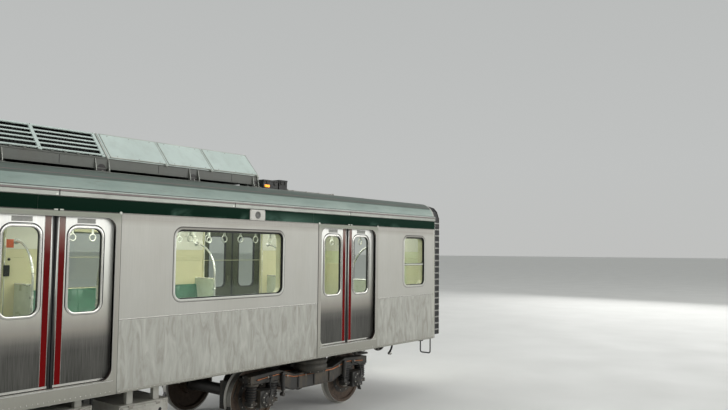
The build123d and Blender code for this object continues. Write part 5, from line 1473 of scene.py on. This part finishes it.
def equipment():
    # inverter: louvred middle, lids, fins at the back
    for nm, x0, x1 in (("traction_inverter", 0.70, 2.96), ("auxiliary_converter", -4.60, -2.30)):
        g_ = Geo()
        y, s = -1.350, -1
        n = 4
        w_ = (x1 - x0) / n
        for k in range(n):
            a, b = x0 + k * w_ + 0.012, x0 + (k + 1) * w_ - 0.012
            if (k == 1) or (nm[0] == "a" and k == 2):
                g_.ring((a + b) / 2, b - a - 0.06, 0.40, 0.83, 0.02, ((0.0, y + 0.001), (0.0, y - 0.014), (0.022, y - 0.014), (0.026, y - 0.008), (0.026, y + 0.001)), 0, seg=5)
                for j in range(11):
                    z = 0.425 + j * 0.036
                    g_.prism([(y + 0.001, z), (y - 0.013, z - 0.010), (y - 0.0145, z - 0.007), (y - 0.002, z + 0.012)], "x", a + 0.032, b - 0.032, 0)
            else:
                lid(g_, a, b, y, s, 0.365, 0.868, 0)
        g_.box(x0 + 0.004, x1 - 0.004, y - 0.010, y + 0.004, 0.872, 0.886, 0.003, 0)
        g_.box(x0 + 0.02, x1 - 0.02, -1.352, -1.30, 0.332, 0.350, 0.004, 2)
        # cooling fins on the inner side
        for j in range(34):
            x = x0 + 0.2 + (x1 - x0 - 0.4) * j / 33
            g_.box(x - 0.003, x + 0.003, -0.251, -0.205, 0.40, 0.84, 0.001, 3)
        # glands and cables at the end
        for j in range(4):
            yy = -1.10 + j * 0.2
            g_.lathe((x1 - 0.002, yy, 0.62), (1, 0, 0), ((0.036, 0), (0.036, 0.018), (0.026, 0.024), (0.026, 0.036)), 16, 1)
            g_.tube([(x1 + 0.03, yy, 0.62), (x1 + 0.09, yy, 0.63), (x1 + 0.13, yy, 0.72), (x1 + 0.13, yy, 1.05)], 0.018, 10, 2, fillet=0.05)
        for x in (x0 - 0.002, x1 + 0.002):
            w2 = -1 if x < (x0 + x1) / 2 else 1
            for z in (0.42, 0.60, 0.78):
                g_.box(x, x + w2 * 0.010, -1.30, -1.20, z - 0.006, z + 0.006, 0.003, 0)
        piece(nm + "_covers", g_, [BOX_P, BOLT, RUBBER, AC_FIN])
    g_ = Geo()
    lid(g_, 3.32, 3.94, -1.350, -1, 0.385, 0.795, 0)
    g_.lathe((3.84, -1.364, 0.70), (0, -1, 0), ((0.022, 0), (0.022, 0.004), (0.012, 0.009), (0.004, 0.010)), 16, 2)
    g_.box(3.302, 3.958, -1.358, -1.340, 0.803, 0.816, 0.003, 0)
    for k in range(6):
        z = 0.46 + k * 0.025
        g_.box(3.42, 3.62, -1.3685, -1.365, z, z + 0.010, 0.001, 2)
    for x in (3.40, 3.86):
        g_.tube([(x - 0.05, -1.364, 0.44), (x - 0.05, -1.395, 0.44), (x + 0.05, -1.395, 0.44), (x + 0.05, -1.364, 0.44)], 0.006, 8, 1, fillet=0.012)
    g_.tube([(3.958, -0.9, 0.70), (4.02, -0.9, 0.70), (4.06, -0.9, 0.78), (4.06, -0.9, 1.05)], 0.020, 10, 2, fillet=0.05)
    piece("battery_box_cover", g_, [BOX_P, BOLT, RUBBER])
    g_ = Geo()
    # compressor: ribbed cylinder heads, motor, filter, guard bars
    for x in (-1.62, -1.28):
        for j in range(8):
            g_.lathe((x, -1.298, 0.62), (0, -1, 0), ((0.118, 0.001 + j * 0.0065), (0.126, 0.002 + j * 0.0065), (0.126, 0.0045 + j * 0.0065), (0.118, 0.0055 + j * 0.0065)), 28, 0, cap=False)
        g_.lathe((x, -1.298, 0.62), (0, -1, 0), ((0.110, 0), (0.110, 0.052), (0.07, 0.060), (0.02, 0.062)), 28, 0)
        for k in range(6):
            q = 2 * PI * k / 6
            g_.bolt((x + 0.088 * math.cos(q), -1.354, 0.62 + 0.088 * math.sin(q)), (0, -1, 0), 0.010, 0.008, 1)
    lid(g_, -1.02, -0.14, -1.300, -1, 0.42, 0.78, 0)
    for k in range(9):
        g_.box(-0.90 + k * 0.08, -0.87 + k * 0.08, -1.3195, -1.315, 0.52, 0.70, 0.001, 2)
    g_.lathe((-1.75, -1.298, 0.46), (0, -1, 0), ((0.055, 0), (0.055, 0.05), (0.048, 0.055), (0.02, 0.056)), 20, 3)
    g_.tube([(-1.28, -1.35, 0.75), (-1.28, -1.35, 0.80), (-1.10, -1.34, 0.835), (-0.6, -1.30, 0.90), (-0.6, -1.22, 0.96)], 0.014, 10, 4, fillet=0.05)
    piece("compressor_details", g_, [BOX_D, BOLT, RUBBER, PIPE, COPPER])
    g_ = Geo()
    for a, b in ((0.32, 1.02), (1.05, 1.75), (1.78, 2.48)):
        lid(g_, a, b, 1.350, 1, 0.40, 0.83, 0)
    g_.box(0.302, 2.498, 1.342, 1.358, 0.836, 0.848, 0.003, 0)
    for j in range(3):
        g_.lathe((2.498, 0.6 + j * 0.25, 0.62), (1, 0, 0), ((0.036, 0), (0.036, 0.018), (0.026, 0.024), (0.026, 0.036)), 16, 1)
        g_.tube([(2.53, 0.6 + j * 0.25, 0.62), (2.60, 0.6 + j * 0.25, 0.63), (2.63, 0.6 + j * 0.25, 0.72), (2.63, 0.6 + j * 0.25, 1.05)], 0.018, 10, 2, fillet=0.05)
    piece("line_breaker_covers", g_, [BOX_P, BOLT, RUBBER])
    g_ = Geo()
    for x0, x1 in ((-4.5, -2.6), (-2.2, -0.6), (3.0, 4.7)):
        for x in (x0 + 0.42, x1 - 0.30):
            g_.lathe((x, 0.9, 0.668), (1, 0, 0), ((0.190, -0.022), (0.195, -0.020), (0.195, 0.020), (0.190, 0.022)), 40, 0, cap=False)
            g_.bolt((x, 0.9, 0.473), (0, 0, -1), 0.010, 0.012, 0)
        for x in (x0 + 0.075, (x0 + x1) / 2, x1 - 0.075):
            g_.lathe((x, 0.9, 0.668), (1, 0, 0), ((0.1895, -0.005), (0.1925, -0.003), (0.1925, 0.003), (0.1895, 0.005)), 40, 1, cap=False)
        g_.lathe(((x0 + x1) / 2 + 0.2, 0.9, 0.480), (0, 0, -1), ((0.020, 0), (0.020, 0.02), (0.012, 0.024), (0.012, 0.045)), 12, 2)
        g_.tube([(x1 - 0.004, 0.9, 0.668), (x1 + 0.05, 0.9, 0.668), (x1 + 0.07, 0.9, 0.74), (x1 + 0.07, 0.9, 1.05)], 0.011, 10, 2, fillet=0.04)
    piece("reservoir_bands", g_, [BOLT, BOX_D, COPPER])
    # pipes and cable trough along the sole, their brackets, cross-member stiffeners
    g_ = Geo()
    for s in (-1, 1):
        for y, z, r in ((1.215, 0.965, 0.014), (1.178, 0.962, 0.011), (1.145, 0.964, 0.009)):
            g_.tube([(-5.15, s * y, z), (5.15, s * y, z)], r, 10, 0)
        for k in range(13):
            x = -5.04 + k * 0.84
            g_.box(x - 0.018, x + 0.018, s * 1.125, s * 1.245, 0.976, 0.992, 0.003, 1)
            g_.box(x - 0.018, x + 0.018, s * 1.236, s * 1.250, 0.940, 0.990, 0.003, 1)
            g_.bolt((x, s * 1.243, 0.9405), (0, 0, -1), 0.008, 0.007, 1)
        # pipes rise into the floor at their ends
        for e in (-1, 1):
            for y, z, r in ((1.215, 0.965, 0.014), (1.178, 0.962, 0.011), (1.145, 0.964, 0.009)):
                g_.tube([(e * 5.14, s * y, z), (e * 5.22, s * y, z), (e * 5.25, s * y, 1.062)], r, 10, 0, fillet=0.03)
        # cable trough on the inner side
        g_.box(-5.0, 5.0, s * 0.118, s * 0.230, 0.935, 0.996, 0.004, 2)
        for k in range(20):
            x = -4.8 + k * 0.505
            g_.box(x - 0.012, x + 0.012, s * 0.112, s * 0.236, 0.931, 0.999, 0.003, 3)
        # jacking pads and their stiffeners
        for x in (-5.35, 5.35):
            g_.box(x - 0.12, x + 0.12, s * 1.262, s * 1.338, 0.980, 1.000, 0.004, 3)
            g_.box(x - 0.10, x + 0.10, s * 1.270, s * 1.330, 0.968, 0.981, 0.003, 1)
    for x in (-4.2, -3.15, -2.1, -1.05, 0, 1.05, 2.1, 3.15, 4.2):
        for y in (-0.9, -0.4, 0.4, 0.9):
            g_.box(x + 0.046, x + 0.16, y - 0.005, y + 0.005, 1.000, 1.056, 0.002, 3)
    piece("sole_pipes", g_, [PIPE, BOLT, BOX_D, UNDER])


equipment()


# ------------------------------------------------------------------ saloon
def saloon():
    g_ = Geo()
    # ceiling: two light strips with frames, air slots, centre grille; lines along the coves
    for s in (-1, 1):
        x = -9.3
        while x < 9.2:
            g_.box(x + 0.01, x + 1.52, s * 0.42, s * 0.56, 3.2215, 3.2335, 0.004, 0)
            g_.box(x, x + 1.53, s * 0.408, s * 0.420, 3.224, 3.2345, 0.002, 1)
            g_.box(x, x + 1.53, s * 0.560, s * 0.572, 3.224, 3.2345, 0.002, 1)
            x += 1.55
        for y in (0.70, 0.725, 0.75):
            g_.box(-9.5, 9.5, s * y, s * (y + 0.006), 3.2295, 3.2345, 0.001, 2)
    x = -9.0
    while x < 9.1:
        g_.box(x, x + 0.62, -0.15, 0.15, 3.2275, 3.2345, 0.003, 1)
        for k in range(7):
            g_.box(x + 0.03, x + 0.59, -0.126 + k * 0.040, -0.114 + k * 0.040, 3.2262, 3.2280, 0.0006, 2)
        x += 0.9
    piece("ceiling_fittings", g_, [LED, CEIL, BOX_D])
    # straps on the overhead rails
    g_ = Geo()
    for cx, L in BENCHES:
        for s in (-1, 1):
            n = int((L - 0.36) / 0.303) + 1
            x = cx - (n - 1) * 0.303 / 2
            for k in range(n):
                xx = x + k * 0.303
                y, zt = s * 0.740, 2.958
                g_.lathe((xx - 0.020, y, zt), (1, 0, 0), ((0.0165, 0), (0.0205, 0.002), (0.0205, 0.038), (0.0165, 0.040)), 14, 1, cap=False)
                g_.box(xx - 0.015, xx + 0.015, y - 0.0035, y + 0.0035, 2.838, 2.942, 0.001, 1)
                g_.box(xx - 0.018, xx + 0.018, y - 0.009, y + 0.009, 2.826, 2.846, 0.003, 0)
                g_.torus((xx, y, 2.785), (0, 1, 0), 0.047, 0.0075, 24, 8, 0)
    piece("strap_handles", g_, [STRAP, WEB])
    # door pillars, header covers and the lining's joints
    g_ = Geo()
    for s in (-1, 1):
        for c in DOORS.values():
            for w_ in (-1, 1):
                x = c + w_ * 0.70
                g_.prism([(x - 0.018, s * 1.3415), (x - 0.018, s * 1.328), (x - 0.010, s * 1.318), (x + 0.010, s * 1.318), (x + 0.018, s * 1.328), (x + 0.018, s * 1.3415)], "z", FLOOR + 0.001, 3.00, 0)
                g_.box(x - 0.006, x + 0.006, s * 1.3145, s * 1.3185, FLOOR + 0.05, 2.95, 0.0015, 1)
            # header cover and a lamp strip over the doorway
            g_.prism([(s * 1.3355, 2.982), (s * 1.322, 2.984), (s * 1.300, 3.012), (s * 1.306, 3.018), (s * 1.3355, 3.014)], "x", c - 0.74, c + 0.74, 0)
            g_.box(c - 0.30, c + 0.30, s * 1.312, s * 1.326, 2.9835, 2.990, 0.002, 2)
        for a, b in PANELS:
            a, b = (a if a > -9.7 else -9.755), (b if b < 9.7 else 9.755)
            # dado moulding above the seats' backs, skirting
            g_.box(a + 0.08, b - 0.08, s * 1.3355, s * 1.3415, 2.487, 2.495, 0.002, 0)
            g_.box(a + 0.06, b - 0.06, s * 1.330, s * 1.3415, FLOOR + 0.002, FLOOR + 0.11, 0.004, 3)
    for e in (-1, 1):
        # the end wall inside: frame of the passage
        X = lambda d: e * d
        loops = []
        for d, off in ((9.7615, 0.002), (9.752, 0.004), (9.748, 0.010), (9.748, 0.045), (9.752, 0.052), (9.7615, 0.052)):
            loops.append([(X(d), y, z) for y, z in outline(0.0, 1.30 + 2 * off, FLOOR - 0.0 + 0.0005, 3.058 + off, 0.03 + off, 0.001, 6)])
        g_.sweep(loops, 1)
        for y in (-1.05, 1.05):
            g_.box(X(9.7605), X(9.755), y - 0.20, y + 0.20, 1.45, 2.35, 0.004, 0)
            for dz in (1.49, 2.31):
                for dy in (-0.17, 0.17):
                    g_.bolt((X(9.7555), y + dy, dz), (-e, 0, 0), 0.005, 0.003, 1)
        # grab rails beside the passage
        for y in (-0.78, 0.78):
            g_.tube([(X(9.758), y, 1.95), (X(9.705), y, 1.95), (X(9.705), y, 2.65), (X(9.758), y, 2.65)], 0.013, 10, 1, fillet=0.04)
    # blank orange plate, small black holder and knob on the lining beside the doors
    for s, sg in ((1, 1), (-1, -1)):
        for c in (3.192, -3.192):
            x = c
            g_.box(x - 0.058, x + 0.058, s * 1.3415, s * 1.3365, 2.628, 2.747, 0.0025, 4)
            g_.box(x - 0.080, x + 0.000, s * 1.3415, s * 1.300, 2.229, 2.384, 0.006, 5)
            g_.lathe((x, s * 1.3405, 2.466), (0, -s, 0), ((0.020, 0), (0.020, 0.006), (0.013, 0.010), (0.013, 0.022), (0.004, 0.025)), 16, 5)
    piece("saloon_lining", g_, [CREAM, POLE, LED, BOX_D, ORANGE, RUBBER])
    # seats: shaped places along each bench, with the front edge rail
    g_ = Geo()
    for cx, L in BENCHES:
        n = max(2, int(round(L / 0.44)))
        w_ = L / n
        for s in (-1, 1):
            for k in range(n):
                xm = cx - L / 2 + (k + 0.5) * w_
                h = w_ / 2 - 0.012
                # seat pan: dished
                loops = []
                for i in range(9):
                    u = -1 + 2 * i / 8
                    x = xm + h * u
                    dip = 0.012 * (1 - u ** 4)
                    edge = 0.010 if abs(u) < 0.99 else 0.0
                    loops.append([(x, s * 0.880, 1.612 - dip * 0.3), (x, s * 0.890, 1.626 + edge - dip * 0.6), (x, s * 0.930, 1.624 + edge - dip), (x, s * 1.060, 1.611 + edge - dip), (x, s * 1.180, 1.604 + edge - dip * 0.8),
                                  (x, s * 1.200, 1.612 + edge * 0.6), (x, s * 1.232, 1.668 - dip * 0.4 + edge * 0.2), (x, s * 1.268, 1.86), (x, s * (1.286 - edge * 0.4), 1.998), (x, s * 1.296, 2.012), (x, s * 1.300, 1.99), (x, s * 1.28, 1.80), (x, s * 1.215, 1.60), (x, s * 0.90, 1.600)])
                g_.sweep(loops, 0)
                g_.face(loops[0][::-1], 0)
                g_.face(loops[-1], 0)
            g_.tube([(cx - L / 2 + 0.02, s * 0.876, 1.602), (cx + L / 2 - 0.02, s * 0.876, 1.602)], 0.010, 10, 1)
            for k in range(n + 1):
                xx = cx - L / 2 + 0.03 + (L - 0.06) * k / n
                g_.bar((xx, s * 0.90, 1.588), (xx, s * 1.21, 1.45), 0.03, 0.02, c=0.003, mi=1)
    piece("seat_places", g_, [SEAT, POLE])
    # end screens' tops and clamps, pole flanges
    g_ = Geo()
    for cx, L in BENCHES:
        for s in (-1, 1):
            for x, w_ in ((cx - L / 2, -1), (cx + L / 2, 1)):
                if abs(x) > 9.46:
                    continue
                g_.tube([(x + w_ * 0.019, s * 0.852, 2.122), (x + w_ * 0.019, s * 1.332, 2.122)], 0.014, 10, 0)
                g_.lathe((x + w_ * 0.019, s * 0.818, FLOOR + 0.0005), (0, 0, 1), ((0.042, 0), (0.042, 0.006), (0.026, 0.014), (0.017, 0.030)), 20, 0)
                for z in (1.50, 1.95):
                    g_.box(x + w_ * 0.019 - 0.018, x + w_ * 0.019 + 0.018, s * 0.799, s * 0.862, z - 0.016, z + 0.016, 0.004, 0)
                zt = FLOOR + 1.042 + (INNER - 0.820)
                g_.lathe((x + w_ * 0.019, s * 1.3395, zt), (0, -s, 0), ((0.042, 0), (0.042, 0.006), (0.026, 0.012), (0.0165, 0.026)), 20, 0)
            for h in (-1, 0, 1):
                x = cx + h * (L / 2 - 0.12)
                g_.lathe((x, s * 0.740, 3.2335), (0, 0, -1), ((0.034, 0), (0.034, 0.005), (0.022, 0.012), (0.0135, 0.022)), 18, 0)
                g_.lathe((x, s * 0.740, 2.945), (0, 0, 1), ((0.017, 0), (0.024, 0.004), (0.024, 0.026), (0.0135, 0.034)), 16, 0)
            for e in (-1, 1):
                x = cx + e * (L / 2 - 0.08)
                g_.lathe((x - e * 0.004, s * 0.740, 2.958), (e, 0, 0), ((0.0185, 0), (0.0185, 0.006), (0.010, 0.012), (0.002, 0.013)), 14, 0)
    piece("pole_fittings", g_, [POLE])


saloon()


# ------------------------------------------------------------------ floor and light
def stage():
    m = Mat("studio_floor")
    nz = m.noise(size=0.6, detail=4)
    col = m.mix(m.span(nz, 0.3, 0.7), lin((228, 228, 225)), lin((222, 222, 219)))
    m.bump(m.noise(size=60, detail=2), 0.04, 0.001)
    m.set(col, m.span(nz, 0.3, 0.7, 0.6, 0.75))
    me = bpy.data.meshes.new("studio_floor")
    R = 400
    me.from_pydata([(-R, -R, 0), (R, -R, 0), (R, R, 0), (-R, R, 0)], [], [(0, 1, 2, 3)])
    me.materials.append(m.m)
    ob = bpy.data.objects.new("studio_floor", me)
    scene.collection.objects.link(ob)


stage()

w = bpy.data.worlds.new("world")
scene.world = w
w.use_nodes = True
nt = w.node_tree
bg = nt.nodes["Background"]
tc = nt.nodes.new("ShaderNodeTexCoord")
sp = nt.nodes.new("ShaderNodeSeparateXYZ")
rp = nt.nodes.new("ShaderNodeValToRGB")
mr = nt.nodes.new("ShaderNodeMapRange")
nt.links.new(tc.outputs["Generated"], sp.inputs[0])
nt.links.new(sp.outputs[2], mr.inputs[0])
mr.inputs[1].default_value, mr.inputs[2].default_value = -1.0, 1.0
nt.links.new(mr.outputs[0], rp.inputs[0])
e = rp.color_ramp.elements
e[0].position, e[0].color = 0.0, lin((206, 206, 203))
e[1].position, e[1].color = 1.0, lin((190, 193, 192))
k = rp.color_ramp.elements.new(0.49)
k.color = lin((214, 215, 213))
k = rp.color_ramp.elements.new(0.56)
k.color = lin((214, 216, 215))
nt.links.new(rp.outputs[0], bg.inputs[0])
bg.inputs[1].default_value = 0.78


def area(name, loc, aim, size, power, color=(1, 1, 1), size_y=None):
    d = bpy.data.lights.new(name, "AREA")
    d.energy = power
    d.color = color
    d.size = size
    if size_y:
        d.shape = "RECTANGLE"
        d.size_y = size_y
    ob = bpy.data.objects.new(name, d)
    ob.location = loc
    ob.rotation_euler = (Vector(aim) - Vector(loc)).to_track_quat("-Z", "Y").to_euler()
    scene.collection.objects.link(ob)
    return ob


area("key", (26, -32, 13), (14, 0, 1.6), 44, 7100, (1.0, 0.99, 0.97), 16)
area("over", (0, 0, 15), (0, 0, 3), 26, 350, (0.97, 0.99, 1.0), 8)
area("back", (-26, 32, 13), (-14, 0, 1.6), 44, 7100, (0.98, 0.99, 1.0), 16)
area("front_end", (36, 0, 9), (9, 0, 1.8), 18, 1500, (1.0, 1.0, 0.99), 10)
area("rear_end", (-36, 0, 9), (-9, 0, 1.8), 18, 1500, (1.0, 1.0, 0.99), 10)
for x in (-8.5, -4.85, 0.0, 4.85, 8.5):
    for y in (-0.45, 0.45):
        area("saloon_%s_%s" % (str(x).replace("-", "m").replace(".", "_"), "l" if y > 0 else "r"), (x, y, 3.20), (x, y, 1.0), 3.6, 34, (1.0, 1.0, 0.93), 0.3)

scene.view_settings.view_transform = "Standard"
scene.view_settings.look = "None"
scene.view_settings.exposure = 0.0

print("triangles", sum(TRIS.values()), sorted(((v, k) for k, v in TRIS.items()), reverse=True)[:12])
